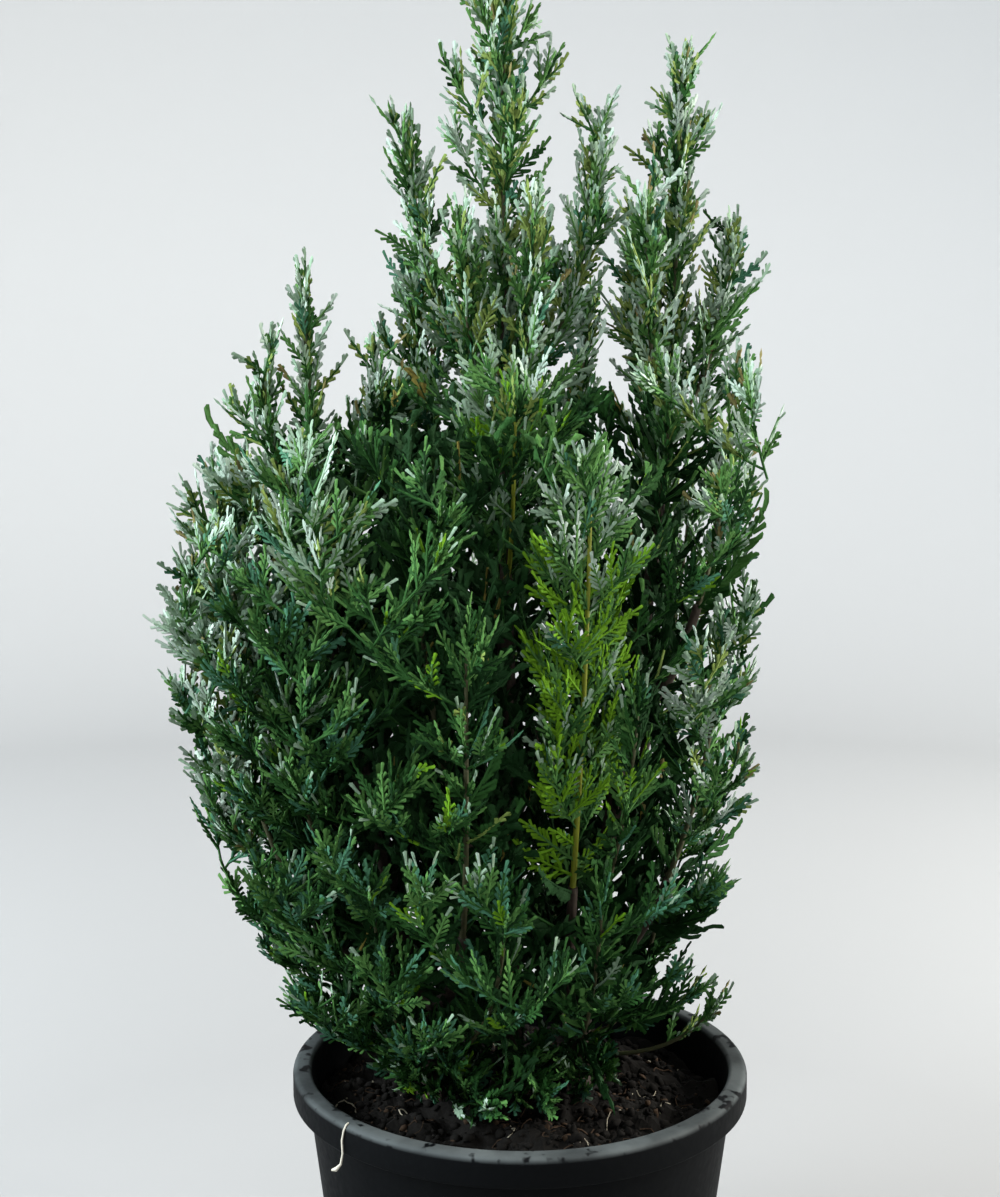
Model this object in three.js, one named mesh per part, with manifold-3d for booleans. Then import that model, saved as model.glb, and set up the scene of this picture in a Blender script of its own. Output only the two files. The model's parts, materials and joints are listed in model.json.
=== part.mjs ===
// A young cypress in a nursery pot: three leaders, upright boughs and plumes of flat sprays.
// Millimetres, +Z up. The origin is the middle of the pot's underside, and -Y is the front.
import * as THREE from "three";
import { mergeVertices } from "three/addons/utils/BufferGeometryUtils.js";
import Module from "manifold-3d";

const wasm = await Module();
wasm.setup();

// Pot and compost
const POT_HEIGHT = 150;
const RIM_RADIUS = 95;
const RIM_WIDTH = 7.7;
const RIM_DEPTH = 12;
const BASE_RADIUS = 71;
const POT_WALL = 1.6;
const POT_FLOOR = 2.4;
const POT_SIDES = 48;
const HOLE_COUNT = 6;
const HOLE_RADIUS = 6;
const HOLE_RING = 52;
const SOIL_LEVEL = 135;
const SOIL_DISH = 4;

// Gap between a piece and its neighbour
const CLEAR = 0.35;

// Leaders: foot on the compost, where the wood ends, the top of the plume above it, the spread of that
// plume's sprays, and the radius at the foot
const STEMS = {
  main: { foot: [-4, 4], end: [-7, 4, 486], top: [-7, 4, 603], spread: 0.86, radius: 6.0 },
  right: { foot: [24, 10], end: [64, 16, 462], top: [66, 15, 569], spread: 0.64, radius: 5.2 },
  left: { foot: [-36, -4], end: [-82, -14, 386], top: [-87, -15, 480], spread: 0.5, radius: 4.6 },
};
const STEM_END_RADIUS = 1.5;
const ROOT_FLARE = 3.0;
const ROOT_FLARE_HEIGHT = 7;

// Boughs: the leader, the height at which they leave it, and the tip of the plume that they carry
const BOUGHS = {
  front_right: { stem: "right", leaves: 166, tip: [25, -66, 409] },
  front_left: { stem: "main", leaves: 225, tip: [-42, -58, 404] },
  front_low: { stem: "left", leaves: 176, tip: [-20, -92, 352] },
  left_far: { stem: "left", leaves: 250, tip: [-124, -8, 406] },
  left_low: { stem: "left", leaves: 192, tip: [-118, -26, 336] },
  left_back: { stem: "left", leaves: 225, tip: [-90, 50, 400] },
  back_left: { stem: "main", leaves: 200, tip: [-44, 80, 392] },
  back_right: { stem: "main", leaves: 250, tip: [20, 84, 402] },
  right_back: { stem: "right", leaves: 240, tip: [78, 60, 405] },
  right_high: { stem: "right", leaves: 300, tip: [89, 2, 448] },
  right_low: { stem: "right", leaves: 190, tip: [82, -20, 345] },
};
const BOUGH_RADIUS = 2.9;
const BOUGH_END_RADIUS = 1.8;
const BOUGH_SHARE = 0.32;

// Rings of plumes that spring from the leaders: the height at which they leave, the height and the reach of
// their tips, the first one's turn in degrees, and the spread of their sprays
const RINGS = {
  main_upper: { stem: "main", count: 2, leaves: 430, tip: 545, reach: 39, turn: 180, spread: 0.68 },
  main_collar: { stem: "main", count: 4, leaves: 392, tip: 505, reach: 24, turn: 120, spread: 0.8 },
  main_front: { stem: "main", count: 1, leaves: 352, tip: 434, reach: 55, turn: -86, spread: 0.9 },
  centre_left: { stem: "main", count: 1, leaves: 322, tip: 484, reach: 42, turn: 160, spread: 0.8 },
  centre_back: { stem: "main", count: 1, leaves: 350, tip: 480, reach: 56, turn: 48, spread: 0.8 },
  right_upper: { stem: "right", count: 3, leaves: 420, tip: 508, reach: 25, turn: 2, spread: 0.64 },
  right_collar: { stem: "right", count: 2, leaves: 372, tip: 446, reach: 30, turn: -85, spread: 0.8 },
  left_upper: { stem: "left", count: 2, leaves: 362, tip: 446, reach: 22, turn: 190, spread: 0.62 },
  belt: { middle: -20, count: 4, leaves: 205, tip: 326, reach: 92, turn: 38, spread: 1 },
  skirt: { middle: -10, count: 9, leaves: 148, tip: 254, reach: 76, turn: 30, spread: 1 },
  sprig: { stem: "right", count: 1, leaves: 150, tip: 186, reach: 66, turn: -24, spread: 0.34 },
};
const RING_TRIES = 24;
const TRY_TURN = 4;
const TRY_RISE = 9;

// Crown: its middle and its radius at heights up to where the leaders part
const CROWN = [
  { height: 150, middle: 0, radius: 94 },
  { height: 200, middle: -4, radius: 101 },
  { height: 245, middle: -17, radius: 113 },
  { height: 310, middle: -21, radius: 123 },
  { height: 365, middle: -21, radius: 124 },
  { height: 410, middle: -13, radius: 118 },
  { height: 450, middle: -8, radius: 106 },
  { height: 600, middle: -8, radius: 106 },
];

// Plumes and sprays
const PLUME_STEM_RADIUS = 1.5;
const PLUME_END_RADIUS = 0.8;
const PLUME_CORE = 2.2;
const PLUME_SIDES = 5;
const PLUME_RING_SPACING = 11.5;
const PLUME_BARE = 0.12;
const PLUME_TIP = 19;
const SPRAY_LONGEST = 56;
const SPRAY_SHORTEST = 30;
const SPRAY_WIDTH = 0.34;
const SPRAY_THICKNESS = 1.7;
const SPRAY_BEND = 0.14;
const SPRAY_TWIST = 50;
const SPRAY_SHRINKS = [1, 0.82, 0.66, 0.5];
const SPRAYS_PER_RING = 2;
const LEAN_LOW = 64;
const LEAN_TOP = 36;
const OWN_SPACE = 1.2;

// Outline of half a spray, along its rib and out from it: two forward teeth with a notch between them
const SPRAY_EDGE = [[0.42, 0.9], [0.5, 0.2], [0.76, 0.74]];
const SPRAY_RIB = 0.5;

const FOLIAGE_GREEN = { colour: 0x4e6946, roughness: 0.85 };
const TIP_GREEN = { colour: 0x6b7d5b, roughness: 0.85 };
const BARK_BROWN = { colour: 0x5a4632, roughness: 0.9 };
const POT_BLACK = { colour: 0x1b1d1f, roughness: 0.55 };
const COMPOST_BROWN = { colour: 0x17130f, roughness: 1.0 };

const { lerp, clamp, degToRad } = THREE.MathUtils;
const FRAME_STEPS = 60;
const UP = new THREE.Vector3(0, 0, 1);
const cypress = new THREE.Group();

// Fixed run of random numbers, so that the plant is always the same
function randomRun(seed) {
  let state = seed;
  return () => {
    state = (state + 0x6d2b79f5) | 0;
    let mixed = Math.imul(state ^ (state >>> 15), 1 | state);
    mixed = (mixed + Math.imul(mixed ^ (mixed >>> 7), 61 | mixed)) ^ mixed;
    return ((mixed ^ (mixed >>> 14)) >>> 0) / 4294967296;
  };
}

// Closed geometry as a solid, for joining and cutting
function solid(geometry) {
  geometry.deleteAttribute("normal");
  geometry.deleteAttribute("uv");
  const merged = mergeVertices(geometry, 1e-4);
  const vertProperties = new Float32Array(merged.attributes.position.array);
  const triVerts = new Uint32Array(merged.index.array);
  return new wasm.Manifold(new wasm.Mesh({ numProp: 3, vertProperties, triVerts }));
}

function addMesh(name, body, finish) {
  const made = body.getMesh();
  const geometry = new THREE.BufferGeometry();
  geometry.setAttribute("position", new THREE.BufferAttribute(made.vertProperties, 3));
  geometry.setIndex(new THREE.BufferAttribute(made.triVerts, 1));
  geometry.computeVertexNormals();
  const material = new THREE.MeshStandardMaterial({
    color: finish.colour,
    roughness: finish.roughness,
    metalness: 0,
  });
  const mesh = new THREE.Mesh(geometry, material);
  mesh.name = name;
  cypress.add(mesh);
}

// Part of a longer curve, by its shares of the length
class Stretch extends THREE.Curve {
  constructor(whole, from, to) {
    super();
    this.whole = whole;
    this.from = from;
    this.to = to;
  }

  getPoint(share, target = new THREE.Vector3()) {
    return this.whole.getPointAt(lerp(this.from, this.to, share), target);
  }
}

// Cylinder drawn out along a curve, with a radius for each share of its length
function taperedTube(curve, radiusAt, sides, steps, crowding = 1) {
  const tube = new THREE.CylinderGeometry(1, 1, 1, sides, steps);
  const frames = curve.computeFrenetFrames(FRAME_STEPS);
  const corners = tube.attributes.position;
  for (let i = 0; i < corners.count; i++) {
    const share = (corners.getY(i) + 0.5) ** crowding;
    const step = Math.round(share * FRAME_STEPS);
    const radius = radiusAt(share);
    const corner = curve.getPointAt(share);
    corner.addScaledVector(frames.normals[step], radius * corners.getX(i));
    corner.addScaledVector(frames.binormals[step], -radius * corners.getZ(i));
    corners.setXYZ(i, corner.x, corner.y, corner.z);
  }
  return tube;
}

// Everything that the sprays keep clear of: points along the limbs with the limb's radius there
const limbPoints = [];

function noteLimb(limb) {
  const steps = Math.ceil(limb.curve.getLength() / 2);
  for (let i = 0; i <= steps; i++) {
    const point = limb.curve.getPointAt(i / steps);
    limbPoints.push({ point, radius: limb.radiusAt(i / steps) });
  }
}

// Pot: a tapered wall with a rolled rim, and a flat floor with drainage holes round its edge
function makePot() {
  const wallTop = RIM_RADIUS - RIM_WIDTH;
  const profile = [
    [0, 0],
    [BASE_RADIUS - 1.2, 0],
    [BASE_RADIUS, 1.2],
    [wallTop + POT_WALL - 0.3, POT_HEIGHT - RIM_DEPTH - 1],
    [RIM_RADIUS - 1.2, POT_HEIGHT - RIM_DEPTH],
    [RIM_RADIUS, POT_HEIGHT - 4],
    [RIM_RADIUS - 0.7, POT_HEIGHT - 1.3],
    [RIM_RADIUS - 2.6, POT_HEIGHT],
    [wallTop + 1.8, POT_HEIGHT],
    [wallTop + 0.2, POT_HEIGHT - 1],
    [wallTop, POT_HEIGHT - 3],
    [BASE_RADIUS - POT_WALL, POT_FLOOR + 1.5],
    [BASE_RADIUS - POT_WALL - 2, POT_FLOOR],
    [0, POT_FLOOR],
  ];
  const outline = profile.map(([r, z]) => new THREE.Vector2(r, z));
  const turned = new THREE.LatheGeometry(outline, POT_SIDES).rotateX(Math.PI / 2);
  let pot = solid(turned);
  for (let i = 0; i < HOLE_COUNT; i++) {
    const hole = new THREE.CylinderGeometry(HOLE_RADIUS, HOLE_RADIUS, 4 * POT_FLOOR, 16);
    const turn = (i * 2 * Math.PI) / HOLE_COUNT;
    hole.rotateX(Math.PI / 2);
    hole.translate(HOLE_RING * Math.cos(turn), HOLE_RING * Math.sin(turn), POT_FLOOR);
    pot = pot.subtract(solid(hole));
  }
  addMesh("pot", pot, POT_BLACK);
}

// Compost: fills the pot, with a flat top that dips to the wall
function makeSoil() {
  const wallTop = RIM_RADIUS - RIM_WIDTH;
  const inside = (z) => {
    const rise = (z - POT_FLOOR - 1.5) / (POT_HEIGHT - 3 - POT_FLOOR - 1.5);
    return lerp(BASE_RADIUS - POT_WALL, wallTop, rise) - CLEAR;
  };
  const floor = POT_FLOOR + CLEAR;
  const edge = SOIL_LEVEL - SOIL_DISH;
  const profile = [
    [0, floor],
    [inside(floor) - 2.4, floor],
    [inside(floor + 2.2) - 0.2, floor + 2.2],
    [inside(edge) - 0.2, edge],
    [0.86 * inside(edge), SOIL_LEVEL],
    [0, SOIL_LEVEL],
  ];
  const outline = profile.map(([r, z]) => new THREE.Vector2(r, z));
  const turned = new THREE.LatheGeometry(outline, POT_SIDES).rotateX(Math.PI / 2);
  addMesh("soil", solid(turned), COMPOST_BROWN);
}

// Leader: upright at its flat foot, flared there, leaning out and straightening to its end
function makeStem(name, row) {
  const foot = new THREE.Vector3(row.foot[0], row.foot[1], SOIL_LEVEL + CLEAR);
  const end = new THREE.Vector3(...row.end);
  const rise = end.z - foot.z;
  const early = foot.clone().addScaledVector(UP, 0.16 * rise);
  const late = end.clone().lerp(foot, 0.32).setZ(end.z - 0.42 * rise);
  late.x += 0.22 * (end.x - foot.x);
  late.y += 0.22 * (end.y - foot.y);
  const curve = new THREE.CubicBezierCurve3(foot, early, late, end);
  const length = curve.getLength();
  const radiusAt = (share) =>
    lerp(row.radius, STEM_END_RADIUS, share ** 0.85) +
    ROOT_FLARE * Math.exp((-share * length) / ROOT_FLARE_HEIGHT);
  const limb = { curve, radiusAt };
  noteLimb(limb);
  addMesh(name, solid(taperedTube(curve, radiusAt, 8, 12, 1.8)), BARK_BROWN);
  return limb;
}

// Share of a leader's length at a height
function shareAtHeight(limb, height) {
  let low = 0;
  let high = 1;
  for (let i = 0; i < 30; i++) {
    const middle = 0.5 * (low + high);
    if (limb.curve.getPointAt(middle).z < height) {
      low = middle;
    } else {
      high = middle;
    }
  }
  return low;
}

// Path of a bough or a plume: square out of the leader's bark, then sweeping up to its tip
function sweepPath(limb, height, tip) {
  const share = shareAtHeight(limb, height);
  const centre = limb.curve.getPointAt(share);
  const along = limb.curve.getTangentAt(share);
  const away = tip.clone().sub(centre);
  const reach = Math.hypot(away.x, away.y);
  const out = away.clone().addScaledVector(along, -away.dot(along)).normalize();
  const start = centre.clone().addScaledVector(out, limb.radiusAt(share) + CLEAR);
  const rise = tip.z - start.z;
  const early = start.clone().addScaledVector(out, 0.42 * reach);
  const late = tip.clone().addScaledVector(UP, -0.55 * rise);
  late.x -= 0.06 * away.x;
  late.y -= 0.06 * away.y;
  return new THREE.CubicBezierCurve3(start, early, late, tip.clone());
}

const plumes = [];

// Plume: a slim stem whose wood and dense foliage end short of the tip, where the last sprig stands
function notePlume(name, path, stemRadius, bare, spread, finish) {
  const tip = path.getPointAt(1);
  const curve = new Stretch(path, 0, 1 - PLUME_TIP / path.getLength());
  const length = curve.getLength();
  const radiusAt = (share) => {
    const leafy = Math.max(0, (share - bare) / (1 - bare));
    return lerp(stemRadius, PLUME_END_RADIUS, share) + PLUME_CORE * Math.sin(Math.PI * leafy ** 0.7);
  };
  const points = [];
  for (let i = 0; i <= 16; i++) {
    points.push(curve.getPointAt(i / 16));
  }
  points.push(tip);
  plumes.push({ name, curve, tip, length, radiusAt, bare, spread, finish, points });
}

// Corners of one toothed spray: its two edges from the root outwards, its tip, and a ridge on each face
function sprayCorners(place) {
  const put = (along, side, lift) => {
    const twist = place.twist * along;
    const corner = place.root.clone();
    corner.addScaledVector(place.along, along * place.length);
    corner.addScaledVector(place.across, side * Math.cos(twist) - lift * Math.sin(twist));
    corner.addScaledVector(place.normal, side * Math.sin(twist) + lift * Math.cos(twist));
    return corner.addScaledVector(UP, SPRAY_BEND * place.length * along * along);
  };
  const width = SPRAY_WIDTH * place.length;
  return {
    lower: SPRAY_EDGE.map(([along, out]) => put(along, -out * width, 0)),
    upper: SPRAY_EDGE.map(([along, out]) => put(along + 0.06, out * width * place.slim, 0)),
    tip: put(1, 0, 0),
    left: put(SPRAY_RIB, 0, 0.5 * SPRAY_THICKNESS),
    right: put(SPRAY_RIB, 0, -0.5 * SPRAY_THICKNESS),
  };
}

// Faces of a spray that grows out of a four-sided patch of its stem
function sprayFaces(spray, [lowLeft, lowRight, highRight, highLeft]) {
  const rightEdge = [lowRight, highRight, ...spray.upper, spray.tip, ...[...spray.lower].reverse()];
  const leftEdge = [highLeft, lowLeft, ...spray.lower, spray.tip, ...[...spray.upper].reverse()];
  const faces = [
    [lowLeft, lowRight, spray.lower[0]],
    [highRight, highLeft, spray.upper[0]],
  ];
  const fan = (edge, ridge) =>
    edge.forEach((corner, i) => faces.push([ridge, corner, edge[(i + 1) % edge.length]]));
  fan(rightEdge, spray.right);
  fan(leftEdge, spray.left);
  return faces;
}

function facesSolid(faces) {
  const geometry = new THREE.BufferGeometry().setFromPoints(faces.flat());
  return solid(geometry);
}

function nearest(points, spot) {
  return points.reduce((least, point) => Math.min(least, point.distanceTo(spot)), Infinity);
}

// Middle and radius of the crown at a height
function crownAt(height) {
  const above = Math.max(1, CROWN.findIndex((row) => row.height >= height));
  const [low, high] = [CROWN[above - 1], CROWN[above]];
  const share = clamp((height - low.height) / (high.height - low.height), 0, 1);
  return {
    middle: lerp(low.middle, high.middle, share),
    radius: lerp(low.radius, high.radius, share),
  };
}

// A spray fits if it lies in its plume's own space, inside the crown, and off the limbs, compost and rim
function fits(plume, spray) {
  const edge = [...spray.lower, spray.tip, ...spray.upper];
  const spots = edge.concat(edge.map((corner) => corner.clone().lerp(spray.left, 0.5)), spray.left);
  return spots.every((spot) => {
    const radius = Math.hypot(spot.x, spot.y);
    const floor = radius > RIM_RADIUS - 14 ? POT_HEIGHT : SOIL_LEVEL;
    if (spot.z < floor + 3) {
      return false;
    }
    const crown = crownAt(spot.z);
    if (Math.hypot(spot.x - crown.middle, spot.y) > crown.radius) {
      return false;
    }
    const own = nearest(plume.points, spot) + OWN_SPACE;
    if (plumes.some((other) => other !== plume && nearest(other.points, spot) < own)) {
      return false;
    }
    return limbPoints.every((limb) => limb.point.distanceTo(spot) > limb.radius + 2);
  });
}

// Longest spray that fits on a patch without cutting its stem or the sprays already there, if any
function growSpray(plume, patch, axis, leafy, random, kept) {
  const [a, b, c, d] = patch;
  const root = a.clone().add(b).add(c).add(d).multiplyScalar(0.25);
  const out = b.clone().sub(a).cross(d.clone().sub(a)).normalize();
  const lean = degToRad(lerp(LEAN_LOW, LEAN_TOP, leafy) + 12 * (random() - 0.5));
  const along = axis.clone().multiplyScalar(Math.cos(lean)).addScaledVector(out, Math.sin(lean)).normalize();
  const normal = along.clone().cross(axis).normalize();
  const across = normal.clone().cross(along);
  const twist = degToRad(SPRAY_TWIST * (2 * random() - 1));
  const full = plume.spread * lerp(SPRAY_LONGEST, SPRAY_SHORTEST, leafy) * (0.92 + 0.16 * random());
  const slim = Math.sin(lean);
  for (const shrink of SPRAY_SHRINKS) {
    const length = Math.min(full * shrink, 0.7 * plume.length);
    const spray = sprayCorners({ root, along, across, normal, twist, length, slim });
    if (fits(plume, spray)) {
      const body = facesSolid([...sprayFaces(spray, patch), [a, c, b], [a, d, c]]);
      if (kept.every((other) => other.intersect(body).isEmpty())) {
        kept.push(body);
        return spray;
      }
    }
  }
  return null;
}

// Mass of one plume: two sprays from each ring of its stem, turned as they climb, shorter and steeper above
function growPlume(plume, random) {
  const count = Math.max(7, Math.round(plume.length / PLUME_RING_SPACING));
  const frames = plume.curve.computeFrenetFrames(count);
  const rings = [];
  for (let step = 0; step <= count; step++) {
    const centre = plume.curve.getPointAt(step / count);
    const radius = plume.radiusAt(step / count);
    const ring = [];
    for (let side = 0; side < PLUME_SIDES; side++) {
      const turn = (2 * Math.PI * side) / PLUME_SIDES;
      const corner = centre.clone().addScaledVector(frames.normals[step], radius * Math.cos(turn));
      ring.push(corner.addScaledVector(frames.binormals[step], radius * Math.sin(turn)));
    }
    rings.push(ring);
  }
  const patchAt = (step, side) => {
    const next = (side + 1) % PLUME_SIDES;
    return [rings[step][side], rings[step][next], rings[step + 1][next], rings[step + 1][side]];
  };
  const plainFaces = ([a, b, c, d]) => [[a, b, c], [a, c, d]];
  const ends = [];
  const bark = [];
  for (let side = 0; side < PLUME_SIDES; side++) {
    const next = (side + 1) % PLUME_SIDES;
    ends.push([rings[0][next], rings[0][side], plume.points[0]]);
    ends.push([rings[count][side], rings[count][next], plume.tip]);
    for (let step = 0; step < count; step++) {
      bark.push(...plainFaces(patchAt(step, side)));
    }
  }
  const kept = [facesSolid([...ends, ...bark])];
  const faces = [...ends];
  const first = Math.floor(PLUME_SIDES * random());
  for (let step = 0; step < count; step++) {
    const leafy = (step / (count - 1) - plume.bare) / (1 - plume.bare);
    for (let side = 0; side < PLUME_SIDES; side++) {
      const patch = patchAt(step, side);
      const order = (side + 3 * step + first) % PLUME_SIDES;
      const bears = order < SPRAYS_PER_RING && leafy >= 0;
      const spray = bears ? growSpray(plume, patch, frames.tangents[step], leafy, random, kept) : null;
      faces.push(...(spray ? sprayFaces(spray, patch) : plainFaces(patch)));
    }
  }
  addMesh(plume.name, facesSolid(faces), plume.finish);
}

// Whether a path stays off the limbs and the other plumes once it has left its leader
function pathClear(path) {
  for (let i = 3; i <= 20; i++) {
    const spot = path.getPointAt(i / 20);
    const apart = Math.min(16, 4 + 1.2 * i);
    if (plumes.some((plume) => nearest(plume.points, spot) < apart)) {
      return false;
    }
    if (limbPoints.some((limb) => limb.point.distanceTo(spot) < limb.radius + 0.4 * apart)) {
      return false;
    }
  }
  return true;
}

function pointAtHeight(limb, height) {
  return limb.curve.getPointAt(shareAtHeight(limb, height));
}

function nearestStem(spot, height) {
  const gap = (limb) => pointAtHeight(limb, height).distanceTo(spot);
  return Object.values(stems).reduce((best, limb) => (gap(limb) < gap(best) ? limb : best));
}

// Path of one plume of a ring, swung and raised until its way is clear, or none
function ringPath(ring, turn, reach, height) {
  for (let attempt = 0; attempt < RING_TRIES; attempt++) {
    const swing = degToRad(turn + (attempt % 2 ? 1 : -1) * TRY_TURN * Math.ceil(attempt / 2));
    const leaves = ring.leaves + TRY_RISE * (attempt % 3);
    const stem = stems[ring.stem];
    const middle = stem ? pointAtHeight(stem, leaves) : new THREE.Vector3(ring.middle, 0, leaves);
    const tip = new THREE.Vector3(reach * Math.cos(swing), reach * Math.sin(swing), 0).add(middle);
    const limb = stem || nearestStem(tip, leaves);
    const path = sweepPath(limb, leaves, tip.setZ(height));
    if (pathClear(path)) {
      return path;
    }
  }
  return null;
}

makePot();
makeSoil();

const stems = {};
for (const [name, row] of Object.entries(STEMS)) {
  const limb = makeStem("stem_" + name, row);
  stems[name] = limb;
  const top = new THREE.Vector3(...row.top);
  const heading = limb.curve.getTangentAt(1);
  const start = limb.curve.getPointAt(1).addScaledVector(heading, CLEAR);
  const bend = start.clone().addScaledVector(heading, 0.5 * top.distanceTo(start));
  const crest = new THREE.QuadraticBezierCurve3(start, bend, top);
  notePlume(`plume_${name}_top`, crest, STEM_END_RADIUS, 0, row.spread, TIP_GREEN);
}

// Boughs end where their plumes begin
for (const [name, row] of Object.entries(BOUGHS)) {
  const path = sweepPath(stems[row.stem], row.leaves, new THREE.Vector3(...row.tip));
  const curve = new Stretch(path, 0, BOUGH_SHARE);
  const radiusAt = (share) => lerp(BOUGH_RADIUS, BOUGH_END_RADIUS, share);
  noteLimb({ curve, radiusAt });
  addMesh(`bough_${name}`, solid(taperedTube(curve, radiusAt, 6, 7)), BARK_BROWN);
  const crest = new Stretch(path, BOUGH_SHARE + CLEAR / path.getLength(), 1);
  notePlume(`plume_${name}`, crest, BOUGH_END_RADIUS, 0, 1, FOLIAGE_GREEN);
}

const place = randomRun(16);
for (const [name, ring] of Object.entries(RINGS)) {
  for (let i = 0; i < ring.count; i++) {
    const reach = ring.reach * (0.96 + 0.08 * place());
    const height = ring.tip + 12 * (place() - 0.5);
    const path = ringPath(ring, ring.turn + (i * 360) / ring.count, reach, height);
    if (path) {
      notePlume(`plume_${name}_${i + 1}`, path, PLUME_STEM_RADIUS, PLUME_BARE, ring.spread, FOLIAGE_GREEN);
    }
  }
}

const grow = randomRun(29);
for (const plume of plumes) {
  growPlume(plume, grow);
}

export default cypress;
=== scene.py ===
import json
import math
from dataclasses import dataclass

import bmesh
import bpy
import numpy as np
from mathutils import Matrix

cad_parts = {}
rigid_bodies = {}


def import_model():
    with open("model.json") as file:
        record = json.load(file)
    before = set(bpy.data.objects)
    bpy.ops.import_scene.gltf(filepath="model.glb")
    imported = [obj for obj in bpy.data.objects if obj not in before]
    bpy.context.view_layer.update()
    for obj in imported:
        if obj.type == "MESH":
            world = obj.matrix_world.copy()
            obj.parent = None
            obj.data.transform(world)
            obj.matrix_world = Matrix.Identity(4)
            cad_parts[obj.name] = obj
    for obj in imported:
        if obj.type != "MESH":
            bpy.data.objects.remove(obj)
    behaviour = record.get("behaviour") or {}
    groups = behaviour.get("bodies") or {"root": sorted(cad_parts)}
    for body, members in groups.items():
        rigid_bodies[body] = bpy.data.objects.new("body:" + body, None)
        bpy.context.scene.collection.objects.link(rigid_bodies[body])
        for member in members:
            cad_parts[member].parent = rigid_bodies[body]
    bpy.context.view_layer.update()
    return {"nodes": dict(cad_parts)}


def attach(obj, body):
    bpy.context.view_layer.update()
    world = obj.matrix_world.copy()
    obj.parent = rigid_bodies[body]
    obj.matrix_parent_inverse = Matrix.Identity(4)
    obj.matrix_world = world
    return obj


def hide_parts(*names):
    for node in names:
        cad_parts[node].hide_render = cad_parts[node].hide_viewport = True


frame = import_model()

# Plant sizes are in millimetres and meshes in metres. X is right, Y away from the front, Z up.
MM = 0.001
UP = np.array([0.0, 0.0, 1.0])
GOLDEN_DEGREES = 137.508
SPIRAL_STEP = 2.4

# Pot and compost
POT_HEIGHT = 150.0
RIM_RADIUS = 95.0
RIM_WIDTH = 7.7
RIM_DEPTH = 12.0
# Heights of the band on the rim's top that is painted grey as sheen
RIM_SHEEN_BAND = (147.6, 149.2)
BASE_RADIUS = 71.0
POT_WALL = 1.6
POT_FLOOR = 2.4
HOLE_COUNT = 6
HOLE_RADIUS = 6.0
HOLE_RING = 52.0
SOIL_LEVEL = 135.0
SOIL_DISH = 4.0
SOIL_RADIUS = 85.0
CLEAR = 0.35

# Leaders: foot on the compost, where the wood ends, the top of the plume, its spread, radius at the foot
STEMS = {
    "main": dict(foot=(-4, 4), end=(-7, 4, 486), top=(-7, 4, 603), spread=0.86, radius=6.0),
    "right": dict(foot=(24, 10), end=(64, 16, 462), top=(66, 15, 569), spread=0.64, radius=5.2),
    "left": dict(foot=(-36, -4), end=(-82, -14, 386), top=(-87, -15, 480), spread=0.5, radius=4.6),
}
STEM_END_RADIUS = 1.5
ROOT_FLARE = 3.0
ROOT_FLARE_HEIGHT = 7.0
STEM_TAPER = 0.85

# How the leaders bend, and how boughs and plumes sweep up, as shares of their rise and reach
STEM_EARLY = 0.16
STEM_LATE_BACK = 0.32
STEM_LATE_DROP = 0.42
STEM_LATE_OUT = 0.22
SWEEP_EARLY = 0.42
SWEEP_LATE_DROP = 0.55
SWEEP_LATE_BACK = 0.06

# Boughs: the leader, the height at which they leave it, and the tip of their plume
BOUGHS = {
    "front_right": ("right", 166, (25, -66, 409)),
    "front_left": ("main", 225, (-42, -58, 404)),
    "front_low": ("left", 176, (-20, -92, 352)),
    "left_far": ("left", 250, (-124, -8, 406)),
    "left_low": ("left", 192, (-118, -26, 336)),
    "left_back": ("left", 225, (-90, 50, 400)),
    "back_left": ("main", 200, (-44, 80, 392)),
    "back_right": ("main", 250, (20, 84, 402)),
    "right_back": ("right", 240, (78, 60, 405)),
    "right_high": ("right", 300, (89, 2, 448)),
    "right_low": ("right", 190, (82, -20, 345)),
}
BOUGH_RADIUS = 2.9
BOUGH_END_RADIUS = 1.8
BOUGH_SHARE = 0.32

# Rings of plumes that spring from the leaders
RINGS = {
    "main_upper": dict(stem="main", count=2, leaves=430, tip=545, reach=39, turn=180, spread=0.68),
    "main_collar": dict(stem="main", count=4, leaves=392, tip=505, reach=24, turn=120, spread=0.8),
    "main_front": dict(stem="main", count=1, leaves=352, tip=434, reach=55, turn=-86, spread=0.9),
    "centre_left": dict(stem="main", count=1, leaves=322, tip=484, reach=42, turn=160, spread=0.8),
    "centre_back": dict(stem="main", count=1, leaves=350, tip=480, reach=56, turn=48, spread=0.45),
    "right_upper": dict(stem="right", count=3, leaves=420, tip=508, reach=25, turn=2, spread=0.64),
    "right_collar": dict(stem="right", count=2, leaves=372, tip=446, reach=30, turn=-85, spread=0.8),
    "left_upper": dict(stem="left", count=2, leaves=362, tip=446, reach=22, turn=190, spread=0.62),
    "belt": dict(middle=-20, count=4, leaves=205, tip=326, reach=92, turn=38, spread=1.0),
    "skirt": dict(middle=-10, count=9, leaves=148, tip=254, reach=76, turn=30, spread=1.0),
    "sprig": dict(stem="right", count=1, leaves=150, tip=186, reach=66, turn=-24, spread=0.34),
}
RING_SEED = 16
RING_TRIES = 24
TRY_TURN = 4
TRY_RISE = 9
LEAST_REACH = 0.96
REACH_RANGE = 0.08
TIP_RANGE = 12

# Room kept free round a plume's stem: at its foot, more for each step along it, and the most
PATH_STEPS = 20
PATH_FIRST = 3
PATH_ROOM = 4
PATH_ROOM_STEP = 1.2
PATH_ROOM_MOST = 16
BARK_ROOM_SHARE = 0.4

# Crown: height, middle and radius
CROWN = np.array([
    (150, 0, 94), (200, -4, 101), (245, -17, 113), (310, -21, 123),
    (365, -21, 124), (410, -13, 118), (450, -8, 106), (600, -8, 106),
], float)
CROWN_DEPTH = 0.9

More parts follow.
